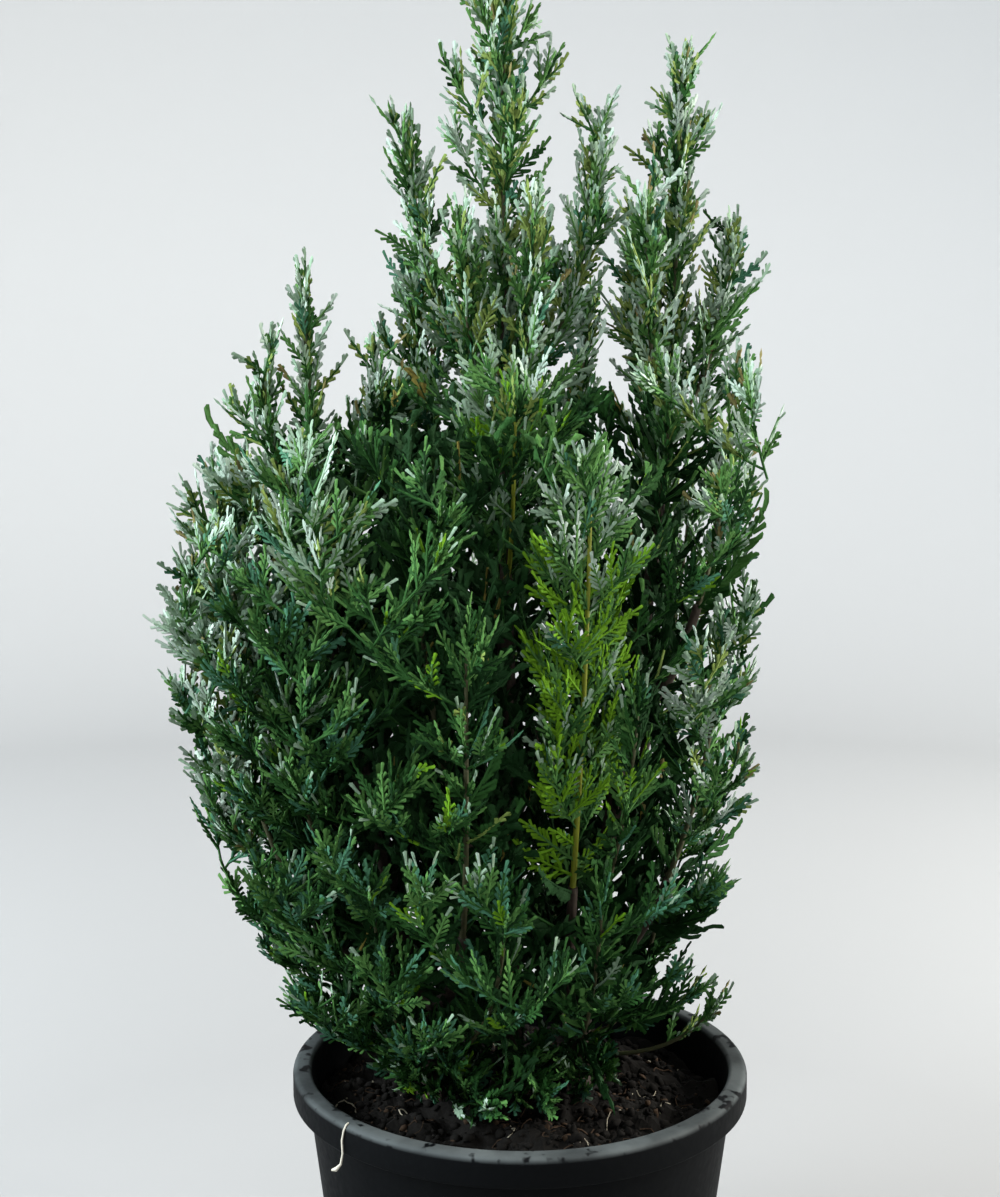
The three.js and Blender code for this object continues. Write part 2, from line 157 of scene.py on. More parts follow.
# Room left for the compost, the rim and the open side at the right
LEAF_ROOM = 4.0
TIP_ROOM = 1.5
RIM_ROOM = 14.0
OPEN_SIDE = (38.0, 40.0)
OPEN_FLOOR = 160.0

# Plumes
PLUME_STEM_RADIUS = 1.5
PLUME_END_RADIUS = 0.6
PLUME_BARE = 0.12
SPRIG_BARE = 0.4
PLUME_TIP = 19.0

# Side shoots of a plume: spacing, longest, shortest, lean, and the share of the plume where they start
SIDE_SHOOTS = {
    "front_right": (7.5, 54, 28, 46, 0.1),
    "main_front": (7.5, 54, 28, 46, 0.1),
    "main_top": (8.0, 56, 23, 42, 0.1),
    "right_top": (10.0, 36, 21, 30, 0.1),
    "main_upper": (17.0, 30, 23, 32, 0.3),
    "right_upper": (17.0, 30, 23, 32, 0.3),
    "centre_left": (10.0, 50, 24, 36, 0.4),
    "left_upper": (13.0, 38, 22, 34, 0.4),
}
SIDE_SPREAD = 0.56
SIDES_END = 0.86
SIDE_LIFT = 0.35
SIDE_MARGIN = 8.0

# Shoots that fill the crown: depths below its skin, spacing, room between them
OUTER_SHOOTS = ((8, 30), 12.0, 17.0)
INNER_SHOOTS = ((44, 70, 95), 17.0, 12.0)
SHOOT_HEIGHTS = (172.0, 440.0)
SHOOT_LENGTHS = (24, 90)
SHOOT_RISES = (0.5, 0.95)
SHOOT_SPREAD = 0.9
CROWDING = ((-70, 0, 90), (-6, 0, 1))
BEARING = 0.75
SHOOT_BEND = np.array([0.62, 0.62, 0.4])
SHOULDER = 447.0
SHOULDER_FLAT = 35.0
SHOULDER_SLOPE = 0.9
LEFT_SHOULDER = -60.0
LEFT_SLOPE = 0.4
RIGHT_GAP = (84.0, 215.0)
BRIGHT_ROOM = 32.0
BRIGHT_FRONT = -48
VIEWED = (1.0, 0.4, 1.0)

# Low shoots: turns, reach, height at the leader, heights of the tips
APRONS = (
    (range(100, 290, 15), 78.0, 158.0, (150, 176)),
    (range(150, 350, 12), 56.0, 146.0, (141, 158)),
    (range(-50, 80, 17), 62.0, 166.0, (170, 190)),
)
FOOT_SHOOTS = range(170, 380, 30)
FOOT_HEIGHT = 141.0

# Foliage on the leaders themselves: the height where it starts, its spread, and its side shoots
LEADER_FOLIAGE = {
    "main": (330, 0.72, (11.0, 52, 38, 27, 0.4)),
    "right": (310, 0.72, (11.0, 52, 38, 27, 0.4)),
    "left": (280, 0.8, None),
}

# Sprays and branchlets
SPRAY_SPACING = 2.6
BRIGHT_AXIS_SPACING = 1.3
CORE_SPACING = 3.2
INNER_SPACING = 7.0
SPRAY_LONGEST = 34.0
SPRAY_SHORTEST = 22.0
TIP_SPRAY = 18.0
TIP_SPRAYS = 4
SPRAY_BEND = 0.2
SPRAY_SWAY = 0.08
SPRAY_CURL = 30.0
SPRAY_CHECKS = np.array([0.4, 0.7, 1.0])
SPRAY_SHRINKS = (1.0, 0.84, 0.7, 0.56, 0.42)
LEAN_LOW = 58.0
LEAN_TOP = 28.0
CREST_LEAN = 8.0
LEAST_RISE = 0.4
OWN_SHARE = 0.7
LEAST_KEPT = 0.6
RIB_RADII = (0.75, 0.5)
BRANCHLET_SPACING = 1.15
LOBED_SPACING = 1.45
BRANCHLET_SHARE = 0.36
BRANCHLET_SHORTEST = 4.0
BRANCHLET_LONGEST = 9.5
BRANCHLET_LEAN = (54.0, 38.0)
TIP_SHORTEST = 5.5
TIP_SHARE = 0.18
TIP_PROUD = 5.0
THINNED_WIDTH = 1.5
INNER_WIDTH = 1.9
LOBED_WIDTH = 1.15
BODY = (168.0, 415.0)
THIN_DEPTH = 30.0
SKIN_DEPTH = 12.0
BRIGHT_TOP = 366.0
LOW_TOP = 285.0
INNER_TOP = 400.0
LEFT_EDGE = -58.0
# Shares of a spray with painted shade at its foot and painted light at its tip
PAINTED_SHADE_FOOT = (0.1, 0.4)
PAINTED_LIGHT_TIP = (0.6, 1.1)
BRONZE_TIP = 0.86
DARK_RIBS = 0.6


def lerp(a, b, share):
    return a + (b - a) * share


def unit(vectors):
    return vectors / np.linalg.norm(vectors, axis=-1, keepdims=True)


def level_way(turn):
    return np.array([math.cos(turn), math.sin(turn), 0.0])


def around(vectors, axes, angles):
    """Vectors turned about axes at right angles to them."""
    angles = np.asarray(angles)[..., None]
    return vectors * np.cos(angles) + np.cross(axes, vectors) * np.sin(angles)


class Path:
    """A curve read by shares of its length."""

    def __init__(self, where):
        self.where = where
        self.marks = np.linspace(0.0, 1.0, 201)
        points = where(self.marks)
        steps = np.linalg.norm(np.diff(points, axis=0), axis=1)
        self.run = np.concatenate([[0.0], np.cumsum(steps)])
        self.length = self.run[-1]

    def mark(self, shares):
        return np.interp(np.asarray(shares, float) * self.length, self.run, self.marks)

    def at(self, shares):
        points = self.where(np.atleast_1d(self.mark(shares)))
        return points if np.ndim(shares) else points[0]

    def heading(self, shares):
        mark = np.atleast_1d(self.mark(shares))
        ahead = self.where(np.minimum(mark + 1e-3, 1.0))
        behind = self.where(np.maximum(mark - 1e-3, 0.0))
        way = unit(ahead - behind)
        return way if np.ndim(shares) else way[0]

    def stretch(self, low, high):
        return Path(lambda marks: self.at(lerp(low, high, np.asarray(marks))))

    def frames(self, shares):
        """Points, headings and normals that don't twist along the way."""
        points, ways = self.at(shares), self.heading(shares)
        normals = np.empty_like(ways)
        normals[0] = unit(np.cross(ways[0], [0.3, 1.0, 0.1]))
        for i in range(1, len(ways)):
            normals[i] = unit(normals[i - 1] - ways[i] * ways[i].dot(normals[i - 1]))
        return points, ways, normals


def bezier(*corners):
    corners = np.array(corners, float)
    order = len(corners) - 1

    def where(marks):
        t = np.asarray(marks, float)[:, None]
        return sum(
            math.comb(order, k) * (1 - t) ** (order - k) * t**k * corner
            for k, corner in enumerate(corners)
        )

    return Path(where)


def random_run(seed):
    """The run of numbers by which the rings of plumes are placed."""
    mask = 0xFFFFFFFF
    state = seed
    while True:
        state = (state + 0x6D2B79F5) & mask
        mixed = ((state ^ (state >> 15)) * (1 | state)) & mask
        mixed = ((mixed + ((mixed ^ (mixed >> 7)) * (61 | mixed))) & mask) ^ mixed
        yield ((mixed ^ (mixed >> 14)) & mask) / 2**32


@dataclass
class Limb:
    """A leader or bough: its line, and its radius by shares of its length."""

    path: Path
    radius_at: object

    def __post_init__(self):
        shares = np.linspace(0, 1, math.ceil(self.path.length / 2) + 1)
        self.spots = np.column_stack([self.path.at(shares), self.radius_at(shares)])

    def share_at(self, height):
        shares = np.linspace(0, 1, 2001)
        return float(np.interp(height, self.path.at(shares)[:, 2], shares))

    def at_height(self, height):
        return self.path.at(self.share_at(height))


@dataclass
class Plume:
    """An axis that bears sprays."""

    name: str
    path: Path
    radius: float
    bare: float
    spread: float
    tipped: bool = True
    shoot: bool = False
    side: bool = False

    def __post_init__(self):
        leafy = self.path.stretch(0, 1 - PLUME_TIP / self.path.length)
        self.spots = np.vstack([leafy.at(np.linspace(0, 1, 17)), self.path.at(1.0)])
        self.axis = self.path.at(np.linspace(0.1, 1, max(5, int(self.path.length / 6))))

    @property
    def kind(self):
        return self.name.removeprefix("plume_").rstrip("_0123456789")


limbs = {}
plumes = []


def stem_limb(row):
    foot = np.array([*row["foot"], SOIL_LEVEL + CLEAR])
    end = np.array(row["end"], float)
    rise = end[2] - foot[2]
    late = lerp(end, foot, STEM_LATE_BACK)
    late[2] = end[2] - STEM_LATE_DROP * rise
    late[:2] += STEM_LATE_OUT * (end - foot)[:2]
    path = bezier(foot, foot + UP * STEM_EARLY * rise, late, end)

    def radius_at(share):
        flare = ROOT_FLARE * np.exp(-share * path.length / ROOT_FLARE_HEIGHT)
        return lerp(row["radius"], STEM_END_RADIUS, share**STEM_TAPER) + flare

    return Limb(path, radius_at)


def sweep_path(limb, height, tip):
    """Square out of the leader's bark, then sweeping up to the tip."""
    share = limb.share_at(height)
    centre, along = limb.path.at(share), limb.path.heading(share)
    away = np.array(tip, float) - centre
    reach = math.hypot(away[0], away[1])
    out = unit(away - along * away.dot(along))
    start = centre + out * (limb.radius_at(share) + CLEAR)
    late = np.array(tip, float) - UP * SWEEP_LATE_DROP * (tip[2] - start[2])
    late[:2] -= SWEEP_LATE_BACK * away[:2]
    return bezier(start, start + out * SWEEP_EARLY * reach, late, tip)


def path_clear(path):
    """Whether the path keeps away from the wood and from the plumes placed before it."""
    steps = np.arange(PATH_FIRST, PATH_STEPS + 1)
    spots = path.at(steps / PATH_STEPS)
    apart = np.minimum(PATH_ROOM_MOST, PATH_ROOM + PATH_ROOM_STEP * steps)
    others = np.vstack([plume.spots for plume in plumes])
    gaps = np.linalg.norm(spots[:, None] - others[None], axis=2).min(axis=1)
    wood = np.vstack([limb.spots for limb in limbs.values()])
    bark = np.linalg.norm(spots[:, None] - wood[None, :, :3], axis=2) - wood[None, :, 3]
    return bool((gaps >= apart).all() and (bark.min(axis=1) >= BARK_ROOM_SHARE * apart).all())


def ring_path(ring, turn, reach, height):
    """The first clear path for a ring's plume, tried to both sides and from three heights."""
    for attempt in range(RING_TRIES):
        way = 1 if attempt % 2 else -1
        swing = math.radians(turn + way * TRY_TURN * math.ceil(attempt / 2))
        leaves = ring["leaves"] + TRY_RISE * (attempt % 3)
        limb = limbs.get("stem_" + ring.get("stem", ""))
        middle = limb.at_height(leaves) if limb else np.array([ring["middle"], 0.0, leaves])
        tip = middle + reach * level_way(swing)
        if not limb:
            stems = [limbs["stem_" + name] for name in STEMS]
            limb = min(stems, key=lambda stem: np.linalg.norm(stem.at_height(leaves) - tip))
        tip[2] = height
        path = sweep_path(limb, leaves, tip)
        if path_clear(path):
            return path
    return None


def grow_skeleton():
    """The leaders, the boughs and the stems of all plumes, as in the solids."""
    for name, row in STEMS.items():
        limb = limbs["stem_" + name] = stem_limb(row)
        top = np.array(row["top"], float)
        heading = limb.path.heading(1.0)
        start = limb.path.at(1.0) + heading * CLEAR
        bend = start + heading * 0.5 * np.linalg.norm(top - start)
        path = bezier(start, bend, top)
        plumes.append(Plume(f"plume_{name}_top", path, STEM_END_RADIUS, 0.0, row["spread"]))
    for name, (stem, leaves, tip) in BOUGHS.items():
        path = sweep_path(limbs["stem_" + stem], leaves, tip)
        wood = path.stretch(0, BOUGH_SHARE)
        limbs["bough_" + name] = Limb(wood, lambda share: lerp(BOUGH_RADIUS, BOUGH_END_RADIUS, share))
        crest = path.stretch(BOUGH_SHARE + CLEAR / path.length, 1)
        plumes.append(Plume("plume_" + name, crest, BOUGH_END_RADIUS, 0.0, 1.0))
    place = random_run(RING_SEED)
    for name, ring in RINGS.items():
        bare = SPRIG_BARE if name == "sprig" else PLUME_BARE
        for i in range(ring["count"]):
            reach = ring["reach"] * (LEAST_REACH + REACH_RANGE * next(place))
            height = ring["tip"] + TIP_RANGE * (next(place) - 0.5)
            path = ring_path(ring, ring["turn"] + i * 360 / ring["count"], reach, height)
            if path:
                plumes.append(Plume(f"plume_{name}_{i + 1}", path, PLUME_STEM_RADIUS, bare, ring["spread"]))


grow_skeleton()
FOLIAGE_NODES = [plume.name for plume in plumes]
missing = sorted(set(FOLIAGE_NODES) ^ {name for name in frame["nodes"] if name.startswith("plume_")})
if missing:
    raise SystemExit("plumes that differ from the frame: " + ", ".join(missing))

# Foliage tones, dealt out by spray. The deep tone is painted shade; grey and pale are partly the foliage's
# glaucous colour and partly painted highlight.
TONES = {
    "deep": (12, 42, 12),
    "dull": (34, 70, 28),
    "mid": (68, 106, 52),
    "fresh": (84, 124, 20),
    "olive": (104, 122, 60),
    "blue": (56, 98, 74),
    "grey": (120, 142, 120),
    "pale": (156, 172, 158),
    "bronze": (104, 98, 60),
    "dry": (92, 84, 36),
}
TONE_NAMES = list(TONES)
# One step lighter and one step darker for each tone: painted light at spray tips, painted shade at spray feet
# and deep in the crown; DARKER also darkens some ribs
LIGHTER = dict(deep="dull", dull="mid", mid="grey", olive="grey", blue="grey", grey="pale")
DARKER = dict(
    dull="deep", mid="dull", fresh="mid", olive="dull", blue="dull", grey="mid", pale="grey", bronze="dull",
    dry="deep",
)


@dataclass
class Coat:
    """How the sprays of one part of the crown look."""

    tones: dict
    scale: float
    lobed: float
    spacing: float = 1.0
    fullness: float = 1.0
    ranked: float = 0.6
    rank_swing: float = 32.0
    twist: float = 50.0
    tone_swing: float = 0.4
    proudest: float = 10.0
    shade_depth: float = 16.0
    late_lit_tips: float = 0.0
    bronze_tips: float = 0.0


# The left and right coats hold more grey and pale, partly as painted light on the lit flanks; the front and
# low coats hold more dull and deep as painted shade, and the low coat more blue as painted bluish shade; the
# inner coat is dark as painted shade inside the crown, with dry for dead sprays
COATS = {
    "crest": Coat(
        dict(mid=4, grey=4, olive=5, blue=1.2, dull=0.8, pale=0.7), 1.0, 0.75,
        spacing=1.2, ranked=0.0, bronze_tips=0.07,
    ),
    "left": Coat(
        dict(mid=4, grey=6.5, blue=2.4, olive=3.2, pale=2.2), 0.76, 0.5,
        spacing=0.95, shade_depth=30.0, bronze_tips=0.07,
    ),
    "front": Coat(
        dict(mid=2.6, fresh=1, olive=0.8, dull=5, deep=3.4, blue=0.6), 0.84, 0.15,
        spacing=0.95, late_lit_tips=0.25,
    ),
    "bright": Coat(
        dict(fresh=8, mid=3.4, dull=0.5, blue=0.4), 0.95, 0.1,
        ranked=0.92, rank_swing=15.0, twist=20.0, tone_swing=0.2, shade_depth=56.0,
    ),
    "right": Coat(
        dict(mid=4.2, grey=4.6, blue=2, olive=2.8, pale=1.6), 0.84, 0.4,
        proudest=6.0, shade_depth=30.0, bronze_tips=0.07,
    ),
    "low": Coat(
        dict(mid=3.5, blue=4, dull=4.5, deep=1.6, grey=0.6, fresh=0.4), 0.66, 0.25,
        spacing=0.78, late_lit_tips=0.25,
    ),
    "inner": Coat(dict(deep=5, dull=4, dry=0.6), 1.0, 0.0, spacing=1.8, fullness=0.42),
}
INNER_PROUD = -16.0

# Spots with tones of their own: where, how wide, and the tones
TINTED = (
    ((-71, -60, 362), 17.0, ("dry", "olive", "dull")),
    ((2, -55, 412), 20.0, ("fresh", "olive", "mid", "dull")),
    ((46, -55, 274), 15.0, ("fresh", "mid")),
    ((84, -16, 176), 26.0, ("grey", "mid", "olive")),
)

chance = np.random.default_rng(29)
branchlets = []
ribs = []


def coat_of(name):
    if name == "inner":
        return "inner"
    if name in ("plume_front_right", "plume_main_front_1"):
        return "bright"
    if name.startswith(("plume_skirt", "plume_belt")):
        return "low"
    if any(word in name for word in ("_top", "upper", "collar", "centre")):
        return "crest"
    if "front" in name:
        return "front"
    return "left" if "left" in name else "right"


def darker(tone):
    return DARKER.get(tone, tone)


def crown_at(heights):
    """The crown's middle and radius."""
    return np.interp(heights, CROWN[:, 0], CROWN[:, 1]), np.interp(heights, CROWN[:, 0], CROWN[:, 2])


def crown_reach(spots, heights):
    """How far the spots lie from the crown's middle at the heights, and the crown's radius there."""
    middle, radius = crown_at(heights)
    return np.hypot(spots[:, 0] - middle, spots[:, 1] / CROWN_DEPTH), radius


def crown_fits(spots, margin=2.0):
    """Whether the spots lie inside the crown and above the compost and the rim."""
    reach, radius = crown_reach(spots, spots[:, 2])
    over_rim = np.hypot(spots[:, 0], spots[:, 1]) > RIM_RADIUS - RIM_ROOM
    floor = np.where(over_rim, POT_HEIGHT, SOIL_LEVEL) + LEAF_ROOM
    at_open_side = (spots[:, 0] > OPEN_SIDE[0]) & (spots[:, 1] < OPEN_SIDE[1])
    floor = np.where(at_open_side, OPEN_FLOOR, floor)
    return bool(((reach <= radius + margin) & (spots[:, 2] > floor)).all())


def own_space(spots, room):
    """Whether the spots lie nearer to their own axis than to the others."""
    if room is None:
        return True
    near, gaps = (np.linalg.norm(spots[:, None] - axis[None], axis=2).min(axis=1) for axis in room)
    return bool((gaps > OWN_SHARE * near).all())


def own_hues(coat):
    """The coat's tones in shares that differ a little from plume to plume."""
    look = COATS[coat]
    weights = np.array([look.tones.get(tone, 0) for tone in TONE_NAMES], float)
    weights *= np.exp(chance.normal(0, look.tone_swing, len(weights)))
    return weights / weights.sum()


def spray_tone(coat, hues, root, spots, depth):
    """The spray's tone, by its coat and its place in the crown."""
    # Lower on the flanks and the front, sprays take the low coat's darker, bluer tones as painted shade; at
    # the left edge the front takes the left coat's lighter tones, partly as painted light
    if coat in ("left", "right", "front") and root[2] < LOW_TOP + chance.uniform(-45, 25):
        hues = own_hues("low")
    elif coat == "front" and root[0] < LEFT_EDGE:
        hues = own_hues("left")
    tone = TONE_NAMES[chance.choice(len(TONE_NAMES), p=hues)]
    if coat == "bright" and spots[-1][2] > BRIGHT_TOP + chance.uniform(-8, 8) and tone == "fresh":
        tone = ("mid", "grey", "grey")[chance.integers(0, 3)]
    for where, wide, tints in TINTED:
        if np.linalg.norm(spots[len(spots) // 2] - where) < wide:
            tone = tints[chance.integers(len(tints))]
    # Painted shade stays off the crown's skin: a deep spray there turns mid
    return "mid" if tone == "deep" and depth[-1] < SKIN_DEPTH else tone


def branchlet_tones(coat, tone, u, shaded):
    """Darker at the spray's foot and deep in the crown as painted shade, lighter at its tip as painted light,
    or bronze at its tip.
    """
    look = COATS[coat]
    tones = np.full(len(u), tone, "<U6")
    tones[u < chance.uniform(*PAINTED_SHADE_FOOT)] = darker(tone)
    if coat != "inner":
        tones[u > chance.uniform(*PAINTED_LIGHT_TIP) + look.late_lit_tips] = LIGHTER.get(tone, tone)
    for i in np.flatnonzero(shaded(look.shade_depth + chance.uniform(0, 18))):
        tones[i] = darker(tones[i])
    if look.bronze_tips and chance.random() < look.bronze_tips:
        tones[u > BRONZE_TIP] = "bronze"
    return tones


def lay_spray(root, along, axis, length, coat, hues, room, fullness=1.0, proud=0.0):
    """A flat spray: a rib that bends up, with branchlets to the left and the right in turn."""
    look = COATS[coat]
    normal = np.cross(along, axis)
    if np.linalg.norm(normal) < 1e-3:
        normal = np.cross(along, [1.0, 0.0, 0.0])
    twist = math.radians(chance.uniform(-look.twist, look.twist))
    across = around(np.cross(unit(normal), along), along, twist)
    curl = math.radians(chance.uniform(-SPRAY_CURL, SPRAY_CURL))
    bow = UP * chance.uniform(0.4, 1.6) * SPRAY_BEND + across * chance.normal(0, SPRAY_SWAY)

    def rib_at(u):
        u = np.asarray(u, float)[:, None]
        return root + along * length * u + bow * length * u * u

    for reach in SPRAY_SHRINKS:
        spots = rib_at(SPRAY_CHECKS * reach)
        if crown_fits(spots, proud) and own_space(spots[1:], room):
            break
    else:
        return
    full = length * reach
    lobed = chance.random() < look.lobed
    count = max(5, round(fullness * full / (BRANCHLET_SPACING * (LOBED_SPACING if lobed else 1.0))))
    u = (np.arange(count) + 0.9) / (count - 0.1)
    u = np.clip(u + chance.normal(0, 0.12 / count, count), 0.02, 1.0)
    u[-1] = 1.0
    spots = rib_at(u * reach)

    way = unit(along * length + 2 * bow * length * (u * reach)[:, None])
    side_way = around(unit(across - way * (way @ across)[:, None]), way, curl * u)
    side = np.where(np.arange(count) % 2, 1.0, -1.0) * chance.choice((-1.0, 1.0))
    spread = np.radians(lerp(*BRANCHLET_LEAN, u) + chance.normal(0, 5, count))
    tilt = chance.normal(0, 0.18, count)
    spread[-1], tilt[-1] = 0.05, 0.0
    heading = way * np.cos(spread)[:, None] + side_way * (side * np.sin(spread))[:, None]
    heading = unit(heading + np.cross(way, side_way) * tilt[:, None])
    forward = unit(way - heading * np.sum(way * heading, axis=1)[:, None])

    swell = np.minimum(1, 0.55 + 2.0 * u) * (1 - u**1.7) ** 0.75
    size = np.maximum(BRANCHLET_SHORTEST, BRANCHLET_SHARE * full * swell) * chance.uniform(0.8, 1.12, count)
    size = np.minimum(size, BRANCHLET_LONGEST)
    size[-1] = max(TIP_SHORTEST, TIP_SHARE * full)
    tips = spots + heading * size[:, None]
    tip_reach, radius = crown_reach(tips, tips[:, 2])
    kept = (tips[:, 2] > SOIL_LEVEL + TIP_ROOM) & (tip_reach < radius + proud + TIP_PROUD)
    if kept.mean() < LEAST_KEPT:
        return

    depth = radius - crown_reach(spots, tips[:, 2])[0]
    tone = spray_tone(coat, hues, root, spots, depth)
    body = (spots[:, 2] > BODY[0]) & (spots[:, 2] < BODY[1])
    inside = body & (depth > THIN_DEPTH) & (coat != "bright")
    kept &= ~inside | (np.arange(count) % 2 == 0)
    width = chance.uniform(0.9, 1.12, count) * np.where(inside, THINNED_WIDTH, 1.0)
    width *= INNER_WIDTH if coat == "inner" else LOBED_WIDTH if lobed else 1.0
    # Painted shade on branchlets deep in the crown's body
    tones = branchlet_tones(coat, tone, u, lambda shade: body & (depth > shade))
    branchlets.append(dict(
        spot=spots[kept], heading=heading[kept], forward=forward[kept], size=size[kept],
        width=width[kept], tone=tones[kept], lobed=np.full(kept.sum(), lobed),
    ))
    ribs.append(dict(
        points=rib_at(np.linspace(0, reach, 3)), radii=np.linspace(*RIB_RADII, 3),
        kind=darker(tone) if chance.random() < DARK_RIBS else tone,
    ))


def rank_turns(points, ways, normals):
    """Turns about the axis that point along the crown's skin, to the left and to the right in turn."""
    middle = crown_at(points[:, 2])[0]
    skin = np.column_stack([-points[:, 1], points[:, 0] - middle, np.zeros(len(points))])
    skin = unit(skin + 1e-6)
    turns = np.arctan2(np.sum(skin * np.cross(ways, normals), axis=1), np.sum(skin * normals, axis=1))
    return turns + np.pi * (np.arange(len(points)) % 2)


def grow_sides(plume, spacing, longest, shortest, lean, low):
    """Shoots to the sides of a plume, shorter towards its tip."""
    count = round(plume.path.length * (SIDES_END - low) / spacing)
    shares = np.linspace(low, SIDES_END, count)
    points, ways, normals = plume.path.frames(shares)
    ranks = rank_turns(points, ways, normals)
    for k in range(count):
        spun = k * SPIRAL_STEP + chance.uniform(-0.4, 0.4)
        turn = ranks[k] + chance.normal(0, 0.35) if coat_of(plume.name) == "bright" else spun
        out = around(normals[k], ways[k], turn)
        tilt = math.radians(lean + chance.uniform(-7, 7))
        length = lerp(longest, shortest, (shares[k] - low) / (SIDES_END - low)) * chance.uniform(0.85, 1.12)
        way = ways[k] * math.cos(tilt) + out * math.sin(tilt)
        tip = points[k] + length * unit(way + SIDE_LIFT * UP)
        if crown_fits(tip[None], SIDE_MARGIN):
            path = bezier(points[k], points[k] + 0.5 * length * way, tip)
            plumes.append(Plume(plume.name, path, 0.7, PLUME_BARE, SIDE_SPREAD, shoot=True, side=True))


def shoot_targets(depths, spacing):
    """Spots on rings at the depths below the crown's skin, in a mixed order."""
    targets = []
    for level, height in enumerate(np.arange(*SHOOT_HEIGHTS, spacing)):
        middle, radius = crown_at(height)
        for depth in depths:
            skin = radius - depth
            for turn in np.arange(0, 2 * np.pi, spacing / skin) + SPIRAL_STEP * level:
                reach = skin + chance.uniform(-8, 8)
                x, y = middle + reach * math.cos(turn), CROWN_DEPTH * reach * math.sin(turn)
                targets.append((x, y, height))
    return np.array(targets)[chance.permutation(len(targets))]


def in_the_open(tip):
    """Whether the tip lies where the crown lets the sky show, round its shoulders and low at the right."""
    over_left = tip[0] < LEFT_SHOULDER and tip[2] > SHOULDER + LEFT_SLOPE * tip[0]
    over_shoulder = tip[2] > SHOULDER - SHOULDER_SLOPE * max(0.0, abs(tip[1]) - SHOULDER_FLAT)
    under_right = tip[0] > RIGHT_GAP[0] and tip[2] < RIGHT_GAP[1]
    return over_left or over_shoulder or under_right


def bearing_spots(plume):
    """Which spots of the plume's axis can bear a shoot."""
    return (np.arange(len(plume.axis)) < BEARING * len(plume.axis)) & (plume.kind != "sprig")


def grow_shoots(depths, spacing, apart, name=None):
    """Shoots that turn up from the plumes into the room left in the crown."""
    bearers = list(plumes)
    bright = np.vstack([p.axis for p in plumes if coat_of(p.name) == "bright" and not p.side])
    spots = np.vstack([plume.axis for plume in plumes])
    owners = np.repeat(np.arange(len(plumes)), [len(plume.axis) for plume in plumes])
    bears = np.concatenate([bearing_spots(plume) for plume in plumes])
    for tip in shoot_targets(depths, spacing):
        away = tip - spots
        gap = np.linalg.norm(away, axis=1)
        rise = away[:, 2] / gap
        if gap.min() < apart + np.interp(tip[0], *CROWDING) or not crown_fits(tip[None]) or in_the_open(tip):
            continue
        fits = (gap > SHOOT_LENGTHS[0]) & (gap < SHOOT_LENGTHS[1])
        fits &= (rise > SHOOT_RISES[0]) & (rise < SHOOT_RISES[1]) & bears
        if not fits.any():
            continue
        best = int(np.argmin(np.where(fits, gap, np.inf)))
        root, way = spots[best], away[best]
        path = bezier(root, root + way * SHOOT_BEND, tip)
        room = (path.at(np.linspace(0.4, 1, 5))[:, None] - bright[None]) * VIEWED
        if tip[1] < BRIGHT_FRONT and name is None and np.linalg.norm(room, axis=2).min() < BRIGHT_ROOM:
            continue
        owner = bearers[owners[best]].name
        if coat_of(owner) == "bright":
            owner = "plume_front_shoot"
        shoot = Plume(name or owner, path, radius=0.8, bare=0.14, spread=SHOOT_SPREAD, shoot=True)
        spots = np.vstack([spots, shoot.axis])
        owners = np.append(owners, [len(bearers)] * len(shoot.axis))
        bears = np.append(bears, bearing_spots(shoot))
        bearers.append(shoot)
    return bearers[len(plumes):]


def grow_aprons():
    """Low shoots that droop over the compost."""
    for turns, reach, leaves, tips in APRONS:
        for turn in np.radians(turns):
            out = level_way(turn)
            stems = [limbs["stem_" + name] for name in STEMS]
            limb = min(stems, key=lambda stem: np.linalg.norm(stem.path.at(0.0) - out * reach))
            root = limb.at_height(leaves + 8 * chance.random())
            tip = out * reach * chance.uniform(0.9, 1.04) + UP * chance.uniform(*tips)
            path = bezier(root, lerp(root, tip, 0.6) - UP * 0.08 * reach, tip)
            plumes.append(Plume("plume_skirt_low", path, radius=0.9, bare=0.2, spread=0.8, shoot=True))


def grow_foot_shoots():
    """Short shoots that hide the leaders' feet."""
    for row in STEMS.values():
        foot = np.array([*row["foot"], FOOT_HEIGHT])
        for turn in np.radians(FOOT_SHOOTS):
            tip = foot + level_way(turn) * chance.uniform(20, 32) + UP * chance.uniform(4, 16)
            path = bezier(foot, lerp(foot, tip, 0.6) - UP * 2, tip)
            plumes.append(Plume("plume_skirt_low", path, radius=0.9, bare=0.25, spread=0.7, shoot=True))


def grow_leader_foliage():
    for name, (low, spread, sides) in LEADER_FOLIAGE.items():
        limb = limbs["stem_" + name]
        upper = limb.path.stretch(limb.share_at(low), 1.0)
        plume = Plume(f"plume_{name}_upper", upper, PLUME_STEM_RADIUS, 0.0, spread, tipped=False)
        plumes.append(plume)
        if sides:
            grow_sides(plume, *sides)


